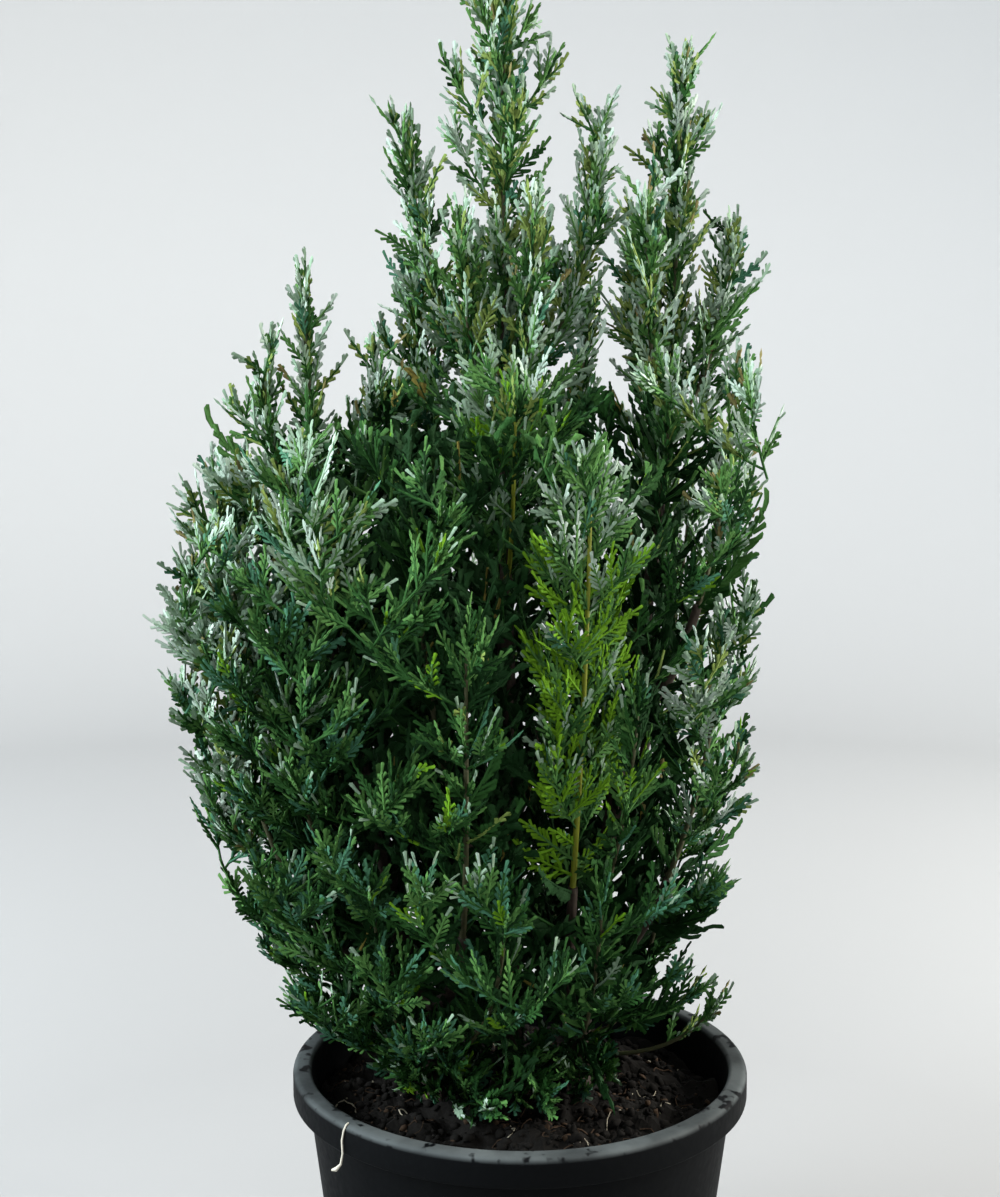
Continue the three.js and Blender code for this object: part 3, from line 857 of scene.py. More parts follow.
def grow_plume(plume, room=None):
    """Sprays round the plume's stem, shorter and steeper towards the tip."""
    coat = coat_of(plume.name)
    look = COATS[coat]
    hues = own_hues(coat)
    proud = INNER_PROUD if coat == "inner" else chance.uniform(-8, look.proudest)
    path = plume.path
    tip_length = min(TIP_SPRAY, 0.4 * path.length)
    last = 1 - tip_length / path.length if plume.tipped else 1.0
    leafy_length = path.length * (last - plume.bare)
    spacing = SPRAY_SPACING * look.spacing
    if coat == "bright" and not plume.shoot:
        spacing *= BRIGHT_AXIS_SPACING
    count = max(2, round(leafy_length / spacing))
    leafy = (np.arange(count) + 0.5) / count
    shares = lerp(plume.bare, last, leafy)
    points, ways, normals = path.frames(shares)
    ranks = rank_turns(points, ways, normals)
    first = chance.uniform(0, 360)
    lean_top = LEAN_TOP + (CREST_LEAN if coat == "crest" else 0)
    for k in range(count):
        if look.ranked and chance.random() < look.ranked:
            turn = ranks[k] + math.radians(chance.normal(0, look.rank_swing))
        else:
            turn = math.radians(first + k * GOLDEN_DEGREES + chance.uniform(-18, 18))
        out = around(normals[k], ways[k], turn)
        lean = lerp(LEAN_LOW, lean_top, leafy[k] if plume.tipped else 0.5) + chance.uniform(-10, 10)
        lean = math.radians(lean)
        along = unit(ways[k] * math.cos(lean) + out * math.sin(lean))
        along = unit(along + UP * max(0, LEAST_RISE - along[2]))
        length = plume.spread * lerp(SPRAY_LONGEST, SPRAY_SHORTEST, leafy[k]) * chance.uniform(0.7, 1.08)
        length *= look.scale * (chance.uniform(0.6, 1.2) if coat == "crest" else 1.0)
        if plume.tipped:
            # Short sprays near the tip, so that the plume comes to a point
            below = path.length * (last - shares[k])
            length = min(length, 0.7 * path.length, 10 + 0.45 * below + 0.8 * max(0, below - 28))
        margin = proud + chance.normal(0, 4)
        lay_spray(points[k], along, ways[k], length, coat, hues, room, look.fullness, margin)
    if coat == "crest" and not plume.shoot:
        core = round(leafy_length / CORE_SPACING)
        marks = lerp(plume.bare, last, (np.arange(core) + 0.5) / max(1, core))
        for k, (spot, way, side) in enumerate(zip(*path.frames(marks))):
            along = unit(way + around(side, way, k * SPIRAL_STEP) * chance.uniform(0.2, 0.5))
            lay_spray(spot, along, way, chance.uniform(10, 17), coat, hues, None, 1.0, proud)
    if plume.tipped:
        tip, way = path.at(last), path.heading(last)
        for k in range(TIP_SPRAYS):
            out = around(normals[-1], way, math.radians(first + 360 / TIP_SPRAYS * k))
            along = unit(way + out * (0.1 if k == 0 else 0.36))
            lay_spray(tip, along, way, tip_length - 5 - k, coat, hues, room, 1.0, proud)
        marks = np.linspace(0, last, max(8, int(path.length / 8)))
        ribs.append(dict(
            points=path.at(marks), radii=lerp(0.75 * plume.radius, PLUME_END_RADIUS, marks),
            kind="dull" if plume.shoot else "green" if coat == "bright" else "brown",
        ))


def grow_inner(limb):
    """Sprays on the wood inside the crown; below the crest they take the inner coat's dark tones as painted
    shade.
    """
    count = round(limb.path.length / INNER_SPACING)
    shares = np.linspace(0.08, 0.98, count)
    points, ways, normals = limb.path.frames(shares)
    for k in range(count):
        out = around(normals[k], ways[k], math.radians(k * GOLDEN_DEGREES + chance.uniform(-25, 25)))
        lean = math.radians(chance.uniform(40, 68))
        along = unit(ways[k] * math.cos(lean) + out * math.sin(lean))
        root = points[k] + out * limb.radius_at(shares[k]) * 0.6
        coat = "inner" if points[k][2] < INNER_TOP else "crest"
        lay_spray(root, along, ways[k], chance.uniform(28, 52), coat, own_hues(coat), None, 0.6)


def grow_foliage():
    for plume in list(plumes):
        if plume.kind in SIDE_SHOOTS:
            grow_sides(plume, *SIDE_SHOOTS[plume.kind])
    plumes.extend(grow_shoots(*OUTER_SHOOTS))
    grow_aprons()
    grow_foot_shoots()
    grow_leader_foliage()
    for plume in plumes:
        others = np.vstack([other.axis for other in plumes if other is not plume])
        grow_plume(plume, None if plume.side else (plume.axis, others))
    for shoot in grow_shoots(*INNER_SHOOTS, "inner"):
        grow_plume(shoot)
    for limb in limbs.values():
        grow_inner(limb)


grow_foliage()


# Meshes
def new_mesh(name, points, faces, edges=()):
    mesh = bpy.data.meshes.new(name)
    mesh.from_pydata([tuple(point) for point in points], list(edges), list(faces))
    mesh.update()
    return mesh


def new_object(name, data):
    piece = bpy.data.objects.new(name, data)
    bpy.context.scene.collection.objects.link(piece)
    return piece


def tube_faces(rings, sides, foot=None, top=None):
    """Faces between rings of points, closed at the foot and the top where these have a middle point."""
    faces = []
    for i in range(rings - 1):
        for j in range(sides):
            k = (j + 1) % sides
            faces.append((i * sides + j, i * sides + k, (i + 1) * sides + k, (i + 1) * sides + j))
    last = (rings - 1) * sides
    for j in range(sides):
        k = (j + 1) % sides
        if foot is not None:
            faces.append((foot, k, j))
        if top is not None:
            faces.append((top, last + j, last + k))
    return faces


def lathe(name, profile, sides):
    """A profile of radius and height turned about the pot's axis, closed where it ends on the axis."""
    turns = np.linspace(0, 2 * np.pi, sides, endpoint=False)
    rings = [row for row in profile if row[0] > 0]
    points = [(r * math.cos(a) * MM, r * math.sin(a) * MM, z * MM) for r, z in rings for a in turns]
    ends = []
    for r, z in (profile[0], profile[-1]):
        ends.append(len(points) if r == 0 else None)
        if r == 0:
            points.append((0, 0, z * MM))
    return new_mesh(name, points, tube_faces(len(rings), sides, *ends))


def arc(middle, radius, first, last, steps):
    turns = np.radians(np.linspace(first, last, steps))
    return [(middle[0] + radius * math.cos(a), middle[1] + radius * math.sin(a)) for a in turns]


BLADE_NECK = 0.64
BLADE_THICKNESS = 1.0
BLADE_BEND = 0.2
SPUR_LEAN = 0.68
SPUR_WIDTH = 1.5


def blade_side(length, spurs, side):
    """One side of a branchlet's outline from foot to tip. A spur has its share, its side and its length."""
    outline = [(0.75 * BLADE_NECK * side, 0.03 * length)]
    if not spurs and length > 7:
        outline.append((BLADE_NECK * side, 0.5 * length))
    out = np.array([side * math.sin(SPUR_LEAN), math.cos(SPUR_LEAN)])
    over = np.array([side * math.cos(SPUR_LEAN), -math.sin(SPUR_LEAN)])
    for share, hand, size in spurs:
        if hand == side:
            foot = np.array([BLADE_NECK * side, share * length])
            end = foot + out * size
            outer = end + over * 0.42 * SPUR_WIDTH - out * 0.5
            inner = end - over * 0.3 * SPUR_WIDTH
            outline += [foot - [0, 0.8], outer, inner, foot + [0, 1.1]]
    return outline + [(BLADE_NECK * 1.1 * side, 0.93 * length)]


def branchlet_mesh(name, length, spurs, hand):
    """A flat branchlet in its own outline, thicker along the middle and bent forward."""
    right, left = (blade_side(length, spurs, side * hand) for side in (1, -1))
    if hand < 0:
        right, left = left, right
    flat = [(0.0, 0.0), *right, (0.0, length), *reversed(left)]
    points = [(x + BLADE_BEND * z * z / length, 0.0, z) for x, z in flat]
    crest, back = len(points), len(points) + 1
    bend = BLADE_BEND * length * 0.3
    points += [(bend, -BLADE_THICKNESS / 2, 0.55 * length), (bend, BLADE_THICKNESS / 2, 0.55 * length)]
    tip = len(right) + 1
    ring = list(range(len(flat)))
    first, second = ring[: tip + 1], ring[tip:] + [0]
    faces = [(*first, crest), (*second, crest), (*reversed(first), back), (*reversed(second), back)]
    mesh = new_mesh(name, np.array(points) * MM, faces)
    for edge in mesh.edges:
        edge.use_edge_sharp = max(edge.vertices) < crest
    return mesh


# Geometry Nodes
def new_tree(name, **kinds):
    tree = bpy.data.node_groups.new(name, "GeometryNodeTree")
    tree.interface.new_socket("Geometry", in_out="INPUT", socket_type="NodeSocketGeometry")
    for plug, kind in kinds.items():
        tree.interface.new_socket(plug, in_out="INPUT", socket_type="NodeSocket" + kind)
    tree.interface.new_socket("Geometry", in_out="OUTPUT", socket_type="NodeSocketGeometry")
    return tree, node(tree, "NodeGroupInput").outputs


def node(tree, kind, **inputs):
    made = tree.nodes.new(kind)
    for name, value in inputs.items():
        plug = made.inputs[name.replace("_", " ")]
        if isinstance(value, bpy.types.NodeSocket):
            tree.links.new(value, plug)
        else:
            plug.default_value = value
    return made


def attribute(tree, name, kind):
    made = node(tree, "GeometryNodeInputNamedAttribute", Name=name)
    made.data_type = kind
    return made.outputs["Attribute"]


def close_tree(tree, made, finish):
    solid = node(tree, "GeometryNodeRealizeInstances", Geometry=made.outputs[0])
    smooth = node(tree, "GeometryNodeSetShadeSmooth", Geometry=solid.outputs[0])
    done = node(tree, "GeometryNodeSetMaterial", Geometry=smooth.outputs[0], Material=finish)
    node(tree, "NodeGroupOutput", Geometry=done.outputs[0])
    return tree


def strewing_tree():
    """Sets a branchlet or crumb on every point, turned and sized by the point's own values."""
    tree, given = new_tree("strew_forms", Forms="Collection", Finish="Material")
    kinds = node(
        tree, "GeometryNodeCollectionInfo", Collection=given["Forms"],
        Separate_Children=True, Reset_Children=True,
    )
    placed = node(
        tree, "GeometryNodeInstanceOnPoints", Points=given["Geometry"], Instance=kinds.outputs[0],
        Pick_Instance=True, Instance_Index=attribute(tree, "form", "INT"),
        Rotation=attribute(tree, "turn", "QUATERNION"), Scale=attribute(tree, "size", "FLOAT_VECTOR"),
    )
    return close_tree(tree, placed, given["Finish"])


def twig_tree():
    """Draws every chain of edges as a tube, as thick as its points say."""
    tree, given = new_tree("draw_twigs", Sides="Int", Finish="Material")
    ring = node(tree, "GeometryNodeCurvePrimitiveCircle", Resolution=given["Sides"], Radius=1.0)
    line = node(tree, "GeometryNodeMeshToCurve", Mesh=given["Geometry"])
    tube = node(
        tree, "GeometryNodeCurveToMesh", Curve=line.outputs[0], Profile_Curve=ring.outputs[0],
        Scale=attribute(tree, "thickness", "FLOAT"), Fill_Caps=True,
    )
    return close_tree(tree, tube, given["Finish"])


def made_plain(piece, modifier):
    """Gives the piece the plain mesh that its modifier makes, without the modifier."""
    piece.update_tag()
    seen = bpy.context.evaluated_depsgraph_get()
    mesh = bpy.data.meshes.new_from_object(piece.evaluated_get(seen))
    piece.modifiers.remove(modifier)
    old, piece.data = piece.data, mesh
    mesh.name = piece.name
    bpy.data.meshes.remove(old)
    return piece


def grown(piece, tree, **values):
    """The piece with the plain mesh that a tree of nodes makes of it."""
    work = piece.modifiers.new(tree.name, "NODES")
    work.node_group = tree
    for plug in tree.interface.items_tree:
        if plug.in_out == "INPUT" and plug.name in values:
            work[plug.identifier] = values[plug.name]
    mesh = made_plain(piece, work).data
    for name in ("form", "turn", "size", "thickness"):
        if name in mesh.attributes:
            mesh.attributes.remove(mesh.attributes[name])
    return piece


strew_forms = strewing_tree()
draw_twigs = twig_tree()


def strewn(name, points, forms, form, turns, sizes, finish):
    """A piece with one of the forms on every point."""
    mesh = new_mesh(name, points * MM, ())
    for key, kind, part, values in (
        ("form", "INT", "value", form),
        ("turn", "QUATERNION", "value", turns),
        ("size", "FLOAT_VECTOR", "vector", sizes),
    ):
        mesh.attributes.new(key, kind, "POINT").data.foreach_set(part, np.ravel(values).tolist())
    return grown(new_object(name, mesh), strew_forms, Forms=forms, Finish=finish)


def finish_piece(piece, slot, *nodes):
    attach(piece, "root")
    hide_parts(*nodes)
    return piece


# Materials
def linear(colour):
    parts = np.array(colour, float) / 255
    return (*np.where(parts <= 0.04045, parts / 12.92, ((parts + 0.055) / 1.055) ** 2.4), 1.0)


def grain_group():
    """Fine grain for leaves and wood: a roughness that varies and a height for the bump."""
    tree = bpy.data.node_groups.new("fine_grain", "ShaderNodeTree")
    for name, value in (("Scale", 400.0), ("Smoothest", 0.5), ("Roughest", 0.8)):
        tree.interface.new_socket(name, in_out="INPUT", socket_type="NodeSocketFloat").default_value = value
    for name in ("Roughness", "Height"):
        tree.interface.new_socket(name, in_out="OUTPUT", socket_type="NodeSocketFloat")
    given = node(tree, "NodeGroupInput").outputs
    place = node(tree, "ShaderNodeTexCoord").outputs["Object"]
    specks = node(tree, "ShaderNodeTexNoise", Vector=place, Scale=given["Scale"], Detail=3.0)
    cells = node(tree, "ShaderNodeTexVoronoi", Vector=place, Scale=given["Scale"])
    rough = node(
        tree, "ShaderNodeMapRange", Value=specks.outputs[0],
        To_Min=given["Smoothest"], To_Max=given["Roughest"],
    )
    node(tree, "NodeGroupOutput", Roughness=rough.outputs[0], Height=cells.outputs[0])
    return tree


fine_grain = grain_group()
GRAIN_HEIGHT = 0.4


def grained(name, colour, scale, smoothest, roughest, depth, specular=0.35):
    finish = bpy.data.materials.new(name)
    finish.use_nodes = True
    tree = finish.node_tree
    shader = tree.nodes["Principled BSDF"]
    shader.inputs["Base Color"].default_value = linear(colour)
    shader.inputs["Specular IOR Level"].default_value = specular
    grain = tree.nodes.new("ShaderNodeGroup")
    grain.node_tree = fine_grain
    for plug, value in (("Scale", scale), ("Smoothest", smoothest), ("Roughest", roughest)):
        grain.inputs[plug].default_value = value
    height = grain.outputs["Height"]
    bump = node(tree, "ShaderNodeBump", Height=height, Strength=depth, Distance=GRAIN_HEIGHT * MM)
    tree.links.new(grain.outputs["Roughness"], shader.inputs["Roughness"])
    tree.links.new(bump.outputs[0], shader.inputs["Normal"])
    return finish


leaf_finish = {
    tone: grained("leaf_" + tone, colour, 900, 0.65, 0.9, 0.4, 0.12) for tone, colour in TONES.items()
}
green_shoot = grained("green_shoot", (108, 114, 24), 500, 0.45, 0.7, 0.4)
brown_twig = grained("brown_twig", (56, 56, 32), 500, 0.6, 0.85, 0.6)
bark_finish = grained("bark", (46, 36, 28), 300, 0.7, 0.95, 0.9)
pot_finish = grained("black_plastic", (3, 4, 5), 300, 0.5, 0.7, 0.2, 0.05)
compost_finish = grained("compost", (15, 13, 11), 350, 0.85, 1.0, 1.0, 0.1)
chip_finish = grained("bark_chip", (52, 40, 30), 500, 0.8, 1.0, 0.8, 0.1)
pale_finish = grained("pale_bit", (150, 142, 124), 500, 0.7, 0.9, 0.5, 0.2)
fibre_finish = grained("root_fibre", (178, 172, 158), 500, 0.6, 0.8, 0.4, 0.2)


def paint_rim_sheen(finish, grey):
    """Painted sheen: grey on the top of the rim, where light falls from above, patchy, with dark specks where
    the sheen breaks.
    """
    tree = finish.node_tree
    shader = tree.nodes["Principled BSDF"]
    place = node(tree, "ShaderNodeTexCoord").outputs["Object"]
    height = node(tree, "ShaderNodeSeparateXYZ", Vector=place).outputs["Z"]
    low, high = (height_mm * MM for height_mm in RIM_SHEEN_BAND)
    top = node(tree, "ShaderNodeMapRange", Value=height, From_Min=low, From_Max=high)
    patches = node(tree, "ShaderNodeTexNoise", Vector=place, Scale=38.0, Detail=4.0).outputs[0]
    # Patchy painted sheen, broken by dark specks below
    sheen_patches = node(
        tree, "ShaderNodeMapRange", Value=patches, From_Min=0.36, From_Max=0.6, To_Min=0.4, To_Max=1.0
    )
    specks = node(tree, "ShaderNodeTexNoise", Vector=place, Scale=150.0, Detail=2.0).outputs[0]
    chips = node(tree, "ShaderNodeMapRange", Value=specks, From_Min=0.36, From_Max=0.42)
    share = top.outputs[0]
    for mask in (sheen_patches, chips):
        times = node(tree, "ShaderNodeMath")
        times.operation = "MULTIPLY"
        tree.links.new(share, times.inputs[0])
        tree.links.new(mask.outputs[0], times.inputs[1])
        share = times.outputs[0]
    blend = tree.nodes.new("ShaderNodeMix")
    blend.data_type = "RGBA"
    tree.links.new(share, blend.inputs["Factor"])
    blend.inputs[6].default_value = shader.inputs["Base Color"].default_value
    blend.inputs[7].default_value = linear(grey)
    tree.links.new(blend.outputs[2], shader.inputs["Base Color"])


# Painted sheen in grey on the rim's top
paint_rim_sheen(pot_finish, (66, 70, 70))

# Branchlets: the nominal length, and the spurs
SLENDER = ((4.0, ()), (6.5, ()), (9.0, ()))
SPURRED = (
    (4.5, ((0.5, 1, 1.6),)),
    (7.0, ((0.42, -1, 2.0), (0.6, 1, 1.9))),
    (10.0, ((0.36, 1, 2.6), (0.52, -1, 2.6), (0.7, 1, 2.2))),
)
MOST_TRIANGLES = 190000


def quaternions(x, y, z):
    """Turns whose axes are the given unit vectors, as w, x, y, z."""
    m00, m11, m22 = x[:, 0], y[:, 1], z[:, 2]
    q = np.empty((len(x), 4))
    q[:, 0] = np.sqrt(np.maximum(0, 1 + m00 + m11 + m22)) / 2
    q[:, 1] = np.copysign(np.sqrt(np.maximum(0, 1 + m00 - m11 - m22)) / 2, y[:, 2] - z[:, 1])
    q[:, 2] = np.copysign(np.sqrt(np.maximum(0, 1 - m00 + m11 - m22)) / 2, z[:, 0] - x[:, 2])
    q[:, 3] = np.copysign(np.sqrt(np.maximum(0, 1 - m00 - m11 + m22)) / 2, x[:, 1] - y[:, 0])
    return q / np.linalg.norm(q, axis=1)[:, None]


def branchlet_forms():
    """The branchlets' meshes, right and left-handed, and the triangles of each."""
    forms = bpy.data.collections.new("branchlets")
    triangles = []
    for length, spurs in SLENDER + SPURRED:
        for hand in (1, -1):
            name = f"branchlet_{len(triangles)}"
            mesh = branchlet_mesh(name, length, spurs, hand)
            forms.objects.link(bpy.data.objects.new(name, mesh))
            triangles.append(sum(len(face.vertices) - 2 for face in mesh.polygons))
    return forms, np.array(triangles)


def nearest_length(sizes, rows):
    lengths = np.array([length for length, spurs in rows])
    return np.searchsorted((lengths[1:] + lengths[:-1]) / 2, sizes)


def set_sprays():
    """Sprays: one piece or more for each tone."""
    forms, triangles = branchlet_forms()
    every = {key: np.concatenate([row[key] for row in branchlets]) for key in branchlets[0]}
    size, width, heading, forward = (every[key] for key in ("size", "width", "heading", "forward"))
    spurred, slender = nearest_length(size, SPURRED), nearest_length(size, SLENDER)
    kind = np.where(every["lobed"], len(SLENDER) + spurred, slender)
    form = 2 * kind + chance.integers(0, 2, len(kind))
    turns = quaternions(forward, np.cross(heading, forward), heading)
    lengths = np.array([length for length, spurs in SLENDER + SPURRED])
    sizes = np.column_stack([width, width, size / lengths[kind]])
    for tone in TONE_NAMES:
        chosen = np.flatnonzero(every["tone"] == tone)
        parts = np.cumsum(triangles[form[chosen]]) // MOST_TRIANGLES
        for part in np.unique(parts):
            some = chosen[parts == part]
            piece = strewn(
                f"sprays_{tone}_{part + 1}", every["spot"][some], forms, form[some], turns[some], sizes[some],
                leaf_finish[tone],
            )
            finish_piece(piece, "foliage", *FOLIAGE_NODES)


def draw_ribs(name, rows, finish, sides, slot="foliage", nodes=FOLIAGE_NODES):
    """Rows of points drawn as fine tubes."""
    points = np.vstack([row["points"] for row in rows]) * MM
    radii = np.concatenate([row["radii"] for row in rows]) * MM
    edges, start = [], 0
    for row in rows:
        edges += [(start + i, start + i + 1) for i in range(len(row["points"]) - 1)]
        start += len(row["points"])
    mesh = new_mesh(name, points, (), edges)
    mesh.attributes.new("thickness", "FLOAT", "POINT").data.foreach_set("value", radii.tolist())
    piece = grown(new_object(name, mesh), draw_twigs, Sides=sides, Finish=finish)
    return finish_piece(piece, slot, *nodes)


def rows_of(kind):
    return [row for row in ribs if row["kind"] == kind]


set_sprays()
for tone in TONE_NAMES:
    if rows_of(tone):
        draw_ribs("ribs_" + tone, rows_of(tone), leaf_finish[tone], 3)
draw_ribs("green_shoots", rows_of("green"), green_shoot, 5)
draw_ribs("brown_twigs", rows_of("brown"), brown_twig, 5)

# Ridges of the stringy bark: how many round the limb, and how deep
BARK_RIDGES = ((5, 0.07), (9, 0.05), (13, 0.04))


def bark_limb(limb, sides, rings, sink, seed):
    """A limb's points and faces with the bark's relief, its foot sunk into what bears it."""
    pick = np.random.default_rng(seed)
    shares = np.linspace(0, 1, rings)
    points, ways, normals = limb.path.frames(shares)
    points[0] -= ways[0] * sink
    binormals = np.cross(ways, normals)
    turn = np.linspace(0, 2 * np.pi, sides, endpoint=False)
    drift = np.cumsum(pick.normal(0, 0.10, rings))
    relief = np.ones((rings, sides))
    for ridges, depth in BARK_RIDGES:
        relief += depth * np.sin(ridges * turn[None] + drift[:, None] * ridges * 0.4 + pick.uniform(0, 6))
    relief += pick.normal(0, 0.02, relief.shape)
    radius = limb.radius_at(shares)[:, None] * relief
    skin = points[:, None] + normals[:, None] * (radius * np.cos(turn))[..., None]
    skin = skin + binormals[:, None] * (radius * np.sin(turn))[..., None]
    verts = np.vstack([skin.reshape(-1, 3), points[:1], points[-1:]]) * MM
    return verts, tube_faces(rings, sides, rings * sides, rings * sides + 1)


def bark_piece(name, prefix, sides, spacing, sink):
    chosen = {key: limb for key, limb in limbs.items() if key.startswith(prefix)}
    verts, faces, start = [], [], 0
    for seed, limb in enumerate(chosen.values()):
        rings = round(limb.path.length / spacing)
        more, skin = bark_limb(limb, sides, rings, sink, seed + 5)
        faces += [tuple(i + start for i in face) for face in skin]
        verts.append(more)
        start += len(more)
    mesh = new_mesh(name, np.vstack(verts), faces)
    mesh.shade_smooth()
    mesh.materials.append(bark_finish)
    return finish_piece(new_object(name, mesh), "bark", *chosen)


bark_piece("leader_bark", "stem_", 26, 2.0, 8.0)
bark_piece("bough_bark", "bough_", 16, 2.0, 2.5)


# Pot and compost
def drill_holes(piece):
    """Drainage holes through the pot's floor."""
    low, high = -2, POT_FLOOR + 1
    drill = lathe("drill", [(0, low), (HOLE_RADIUS, low), (HOLE_RADIUS, high), (0, high)], 24)
    points = np.array([corner.co for corner in drill.vertices])
    shell = [tuple(face.vertices) for face in drill.polygons]
    verts, faces = [], []
    for k in range(HOLE_COUNT):
        faces += [tuple(i + k * len(points) for i in face) for face in shell]
        verts.append(points + level_way(2 * math.pi * k / HOLE_COUNT) * HOLE_RING * MM)
    bits = new_object("drill", new_mesh("drills", np.vstack(verts), faces))
    work = piece.modifiers.new("holes", "BOOLEAN")
    work.operation = "DIFFERENCE"
    work.solver = "EXACT"
    work.object = bits
    made_plain(piece, work)
    bpy.data.objects.remove(bits)


def make_pot():
    bore = RIM_RADIUS - RIM_WIDTH
    rim_foot = POT_HEIGHT - RIM_DEPTH
    profile = [
        (0, 0),
        *arc((BASE_RADIUS - 1.2, 1.2), 1.2, -90, 0, 4),
        (bore + POT_WALL - 0.3, rim_foot - 1),
        *arc((RIM_RADIUS - 1.4, rim_foot + 1.4), 1.4, -80, 0, 4),
        (RIM_RADIUS, POT_HEIGHT - 3.2),
        *arc((RIM_RADIUS - 2.4, POT_HEIGHT - 2.4), 2.4, 0, 90, 7),
        *arc((bore + 1.8, POT_HEIGHT - 1.8), 1.8, 90, 180, 6),
        (bore, POT_HEIGHT - 4),
        (BASE_RADIUS - POT_WALL, POT_FLOOR + 1.5),
        (BASE_RADIUS - POT_WALL - 2, POT_FLOOR),
        (0, POT_FLOOR),
    ]
    pot = new_object("nursery_pot", lathe("nursery_pot", profile, 144))
    drill_holes(pot)
    pot.data.shade_smooth()
    pot.data.set_sharp_from_angle(angle=math.radians(38))
    pot.data.materials.append(pot_finish)
    finish_piece(pot, "pot_plastic", "pot")


SOIL_WAVES = np.random.default_rng(3).uniform(0, 2 * np.pi, (48, 2))


def soil_height(x, y):
    """Lumpy compost that dips to the wall."""
    height = SOIL_LEVEL - SOIL_DISH * (np.hypot(x, y) / SOIL_RADIUS) ** 5
    for length, (turn, start) in zip(np.geomspace(4.5, 42, len(SOIL_WAVES)), SOIL_WAVES):
        wave = np.sin((x * np.cos(turn) + y * np.sin(turn)) * 2 * np.pi / length + start)
        height = height + 0.036 * length**0.8 * wave
    return height


def make_compost():
    profile = [(0, POT_FLOOR + CLEAR), (64, POT_FLOOR + CLEAR), (68, POT_FLOOR + 3)]
    profile += [(r, SOIL_LEVEL) for r in np.linspace(SOIL_RADIUS, 1.2, 58)] + [(0, SOIL_LEVEL)]
    mesh = lathe("compost_fill", profile, 150)
    for corner in mesh.vertices:
        x, y, z = corner.co / MM
        if z > SOIL_LEVEL - 1:
            corner.co.z = soil_height(x, y) * MM
    mesh.materials.append(compost_finish)
    finish_piece(new_object("compost_fill", mesh), "compost", "soil")


def crumb_mesh(name, seed, flat):
    pick = np.random.default_rng(seed)
    work = bmesh.new()
    bmesh.ops.create_icosphere(work, subdivisions=1, radius=MM)
    for corner in work.verts:
        corner.co *= pick.uniform(0.6, 1.2)
        corner.co.z *= flat
    mesh = bpy.data.meshes.new(name)
    work.to_mesh(mesh)
    work.free()
    return mesh


crumbs = bpy.data.collections.new("crumbs")
for i, flat in enumerate((0.8, 0.6, 0.35)):
    crumbs.objects.link(bpy.data.objects.new(f"crumb_{i}", crumb_mesh(f"crumb_{i}", i + 40, flat)))


def scatter_crumbs(name, count, small, large, finish, seed):
    """Crumbs strewn over the compost."""
    pick = np.random.default_rng(seed)
    radius, turn = (SOIL_RADIUS - 2.5) * np.sqrt(pick.random(count)), pick.uniform(0, 2 * np.pi, count)
    size = lerp(small, large, pick.random(count) ** 2)
    x, y = radius * np.cos(turn), radius * np.sin(turn)
    points = np.column_stack([x, y, soil_height(x, y) + 0.25 * size])
    turns = unit(pick.normal(0, 1, (count, 4)) * [1, 0.35, 0.35, 1])
    form = pick.integers(0, len(crumbs.objects), count)
    sizes = size[:, None] * pick.uniform(0.7, 1.3, (count, 3))
    return finish_piece(strewn(name, points, crumbs, form, turns, sizes, finish), "compost", "soil")


def fibre_rows(count, seed):
    """Fine roots that lie on the compost."""
    pick = np.random.default_rng(seed)
    rows = []
    for k in range(count):
        spot = 74 * math.sqrt(pick.random()) * level_way(k * SPIRAL_STEP)[:2]
        turn, bend = pick.uniform(0, 2 * np.pi), pick.normal(0, 0.5)
        steps = [spot]
        for i in range(6):
            turn += bend + pick.normal(0, 0.3)
            steps.append(steps[-1] + pick.uniform(1.2, 2.8) * level_way(turn)[:2])
        steps = np.array([step for step in steps if np.hypot(*step) < SOIL_RADIUS - 3])
        if len(steps) > 2:
            lift = soil_height(steps[:, 0], steps[:, 1]) + pick.uniform(0.2, 1.4, len(steps))
            radii = np.full(len(steps), pick.uniform(0.16, 0.34))
            rows.append(dict(points=np.column_stack([steps, lift]), radii=radii))
    return rows


# The loose root over the rim's front left, with a knob at its end: radius, turn in degrees, height, thickness
LOOSE_ROOT = (
    (93.0, 224.9, 150.2, 0.3), (94.4, 225.1, 149.9, 0.36), (95.4, 225.0, 148.0, 0.4),
    (95.8, 224.6, 144.0, 0.4), (95.9, 224.9, 139.0, 0.4), (96.2, 224.4, 134.6, 0.5),
    (97.2, 223.4, 132.4, 0.9), (98.2, 222.6, 132.0, 0.4),
)


def loose_root_row():
    points = [r * level_way(math.radians(turn)) + UP * z for r, turn, z, _ in LOOSE_ROOT]
    return dict(points=np.array(points), radii=np.array([thick for *_, thick in LOOSE_ROOT]))


make_pot()
make_compost()
scatter_crumbs("dark_crumbs", 1500, 0.7, 3.0, compost_finish, 51)
scatter_crumbs("bark_chips", 220, 0.6, 2.4, chip_finish, 52)
scatter_crumbs("pale_bits", 26, 0.4, 1.3, pale_finish, 53)
draw_ribs("brown_roots", fibre_rows(90, 61), chip_finish, 4, "compost", ("soil",))
draw_ribs("pale_roots", fibre_rows(16, 62), pale_finish, 4, "compost", ("soil",))
draw_ribs("loose_root", [loose_root_row()], fibre_finish, 6, "compost", ("soil",))

# Floor, camera and light
FLOOR_FLAT = 1600.0
FLOOR_SWEEP = 900.0
FLOOR_TOP = 2600.0
CAMERA_PLACE = (-0.0083, -0.6152, 0.3989)
CAMERA_TILT = 84.92
CAMERA_LENS = 45.11
UPPER_AIM = (0, 0, 0.35)
LOWER_AIM = (0, 0, 0.33)


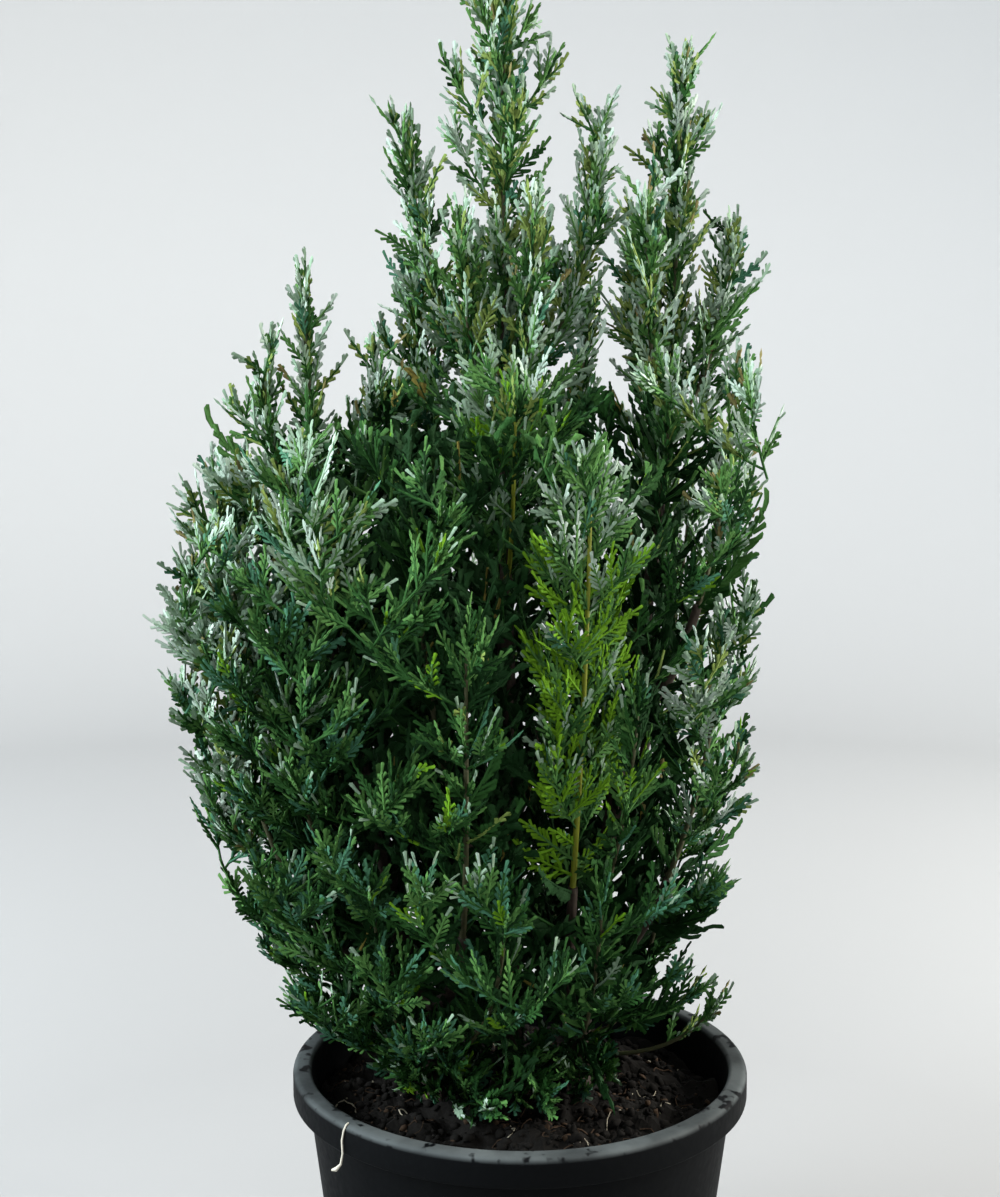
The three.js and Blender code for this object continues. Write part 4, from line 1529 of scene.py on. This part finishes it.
def floor_finish():
    """Pale grey that lightens away from the pot, as painted light: the far floor and the wall, which get less
    light, are made paler.
    """
    finish = bpy.data.materials.new("pale_floor")
    finish.use_nodes = True
    tree = finish.node_tree
    shader = tree.nodes["Principled BSDF"]
    reach = node(tree, "ShaderNodeVectorMath", Vector=node(tree, "ShaderNodeTexCoord").outputs["Object"])
    reach.operation = "LENGTH"
    # Painted light: paler base colour further from the pot
    rise = node(
        tree, "ShaderNodeMapRange", Value=reach.outputs["Value"],
        From_Min=0.4, From_Max=2.6, To_Min=0.2, To_Max=0.48,
    )
    tree.links.new(rise.outputs[0], shader.inputs["Base Color"])
    shader.inputs["Roughness"].default_value = 0.9
    return finish


def make_floor():
    """A round floor that sweeps up into a wall."""
    profile = [
        (FLOOR_FLAT + FLOOR_SWEEP, FLOOR_TOP),
        *arc((FLOOR_FLAT, FLOOR_SWEEP), FLOOR_SWEEP, 0, math.degrees(0.1) - 90, 12),
        (FLOOR_FLAT, 0), (1000.0, 0), (500.0, 0), (0, 0),
    ]
    mesh = lathe("floor", profile, 96)
    mesh.shade_smooth()
    mesh.materials.append(floor_finish())
    new_object("floor", mesh)


def set_camera():
    camera = bpy.data.cameras.new("camera")
    camera.lens = CAMERA_LENS
    camera.sensor_width = 36.0
    camera.clip_start = 0.01
    stand = new_object("camera", camera)
    stand.location = CAMERA_PLACE
    stand.rotation_euler = (math.radians(CAMERA_TILT), 0, 0)
    bpy.context.scene.camera = stand


def soft_light(name, place, aim, size, power, colour=(1, 1, 1)):
    light = bpy.data.lights.new(name, "AREA")
    light.shape = "DISK"
    light.size = size
    light.energy = power
    light.color = colour
    lamp = new_object(name, light)
    lamp.location = place
    way = np.array(aim, float) - np.array(place, float)
    turn_z = math.atan2(way[1], way[0]) - math.pi / 2
    turn_x = math.atan2(way[2], math.hypot(way[0], way[1])) + math.pi / 2
    lamp.rotation_euler = (turn_x, 0, turn_z)
    lamp.visible_camera = False


def set_studio():
    soft_light("top_light", (-0.2, -0.15, 2.0), LOWER_AIM, 1.3, 36)
    soft_light("left_light", (-1.5, -0.45, 1.0), UPPER_AIM, 1.2, 86, (0.84, 0.94, 1.0))
    soft_light("right_light", (1.5, 0.0, 1.0), UPPER_AIM, 1.2, 80, (1.0, 0.98, 0.92))
    soft_light("front_light", (-0.5, -1.7, 1.3), LOWER_AIM, 1.2, 3)
    world = bpy.data.worlds.new("studio")
    world.use_nodes = True
    sky = world.node_tree.nodes["Background"].inputs
    sky["Color"].default_value = (0.84, 0.92, 1.0, 1.0)
    sky["Strength"].default_value = 0.5
    bpy.context.scene.world = world
    bpy.context.scene.view_settings.view_transform = "Standard"


make_floor()
set_camera()
set_studio()
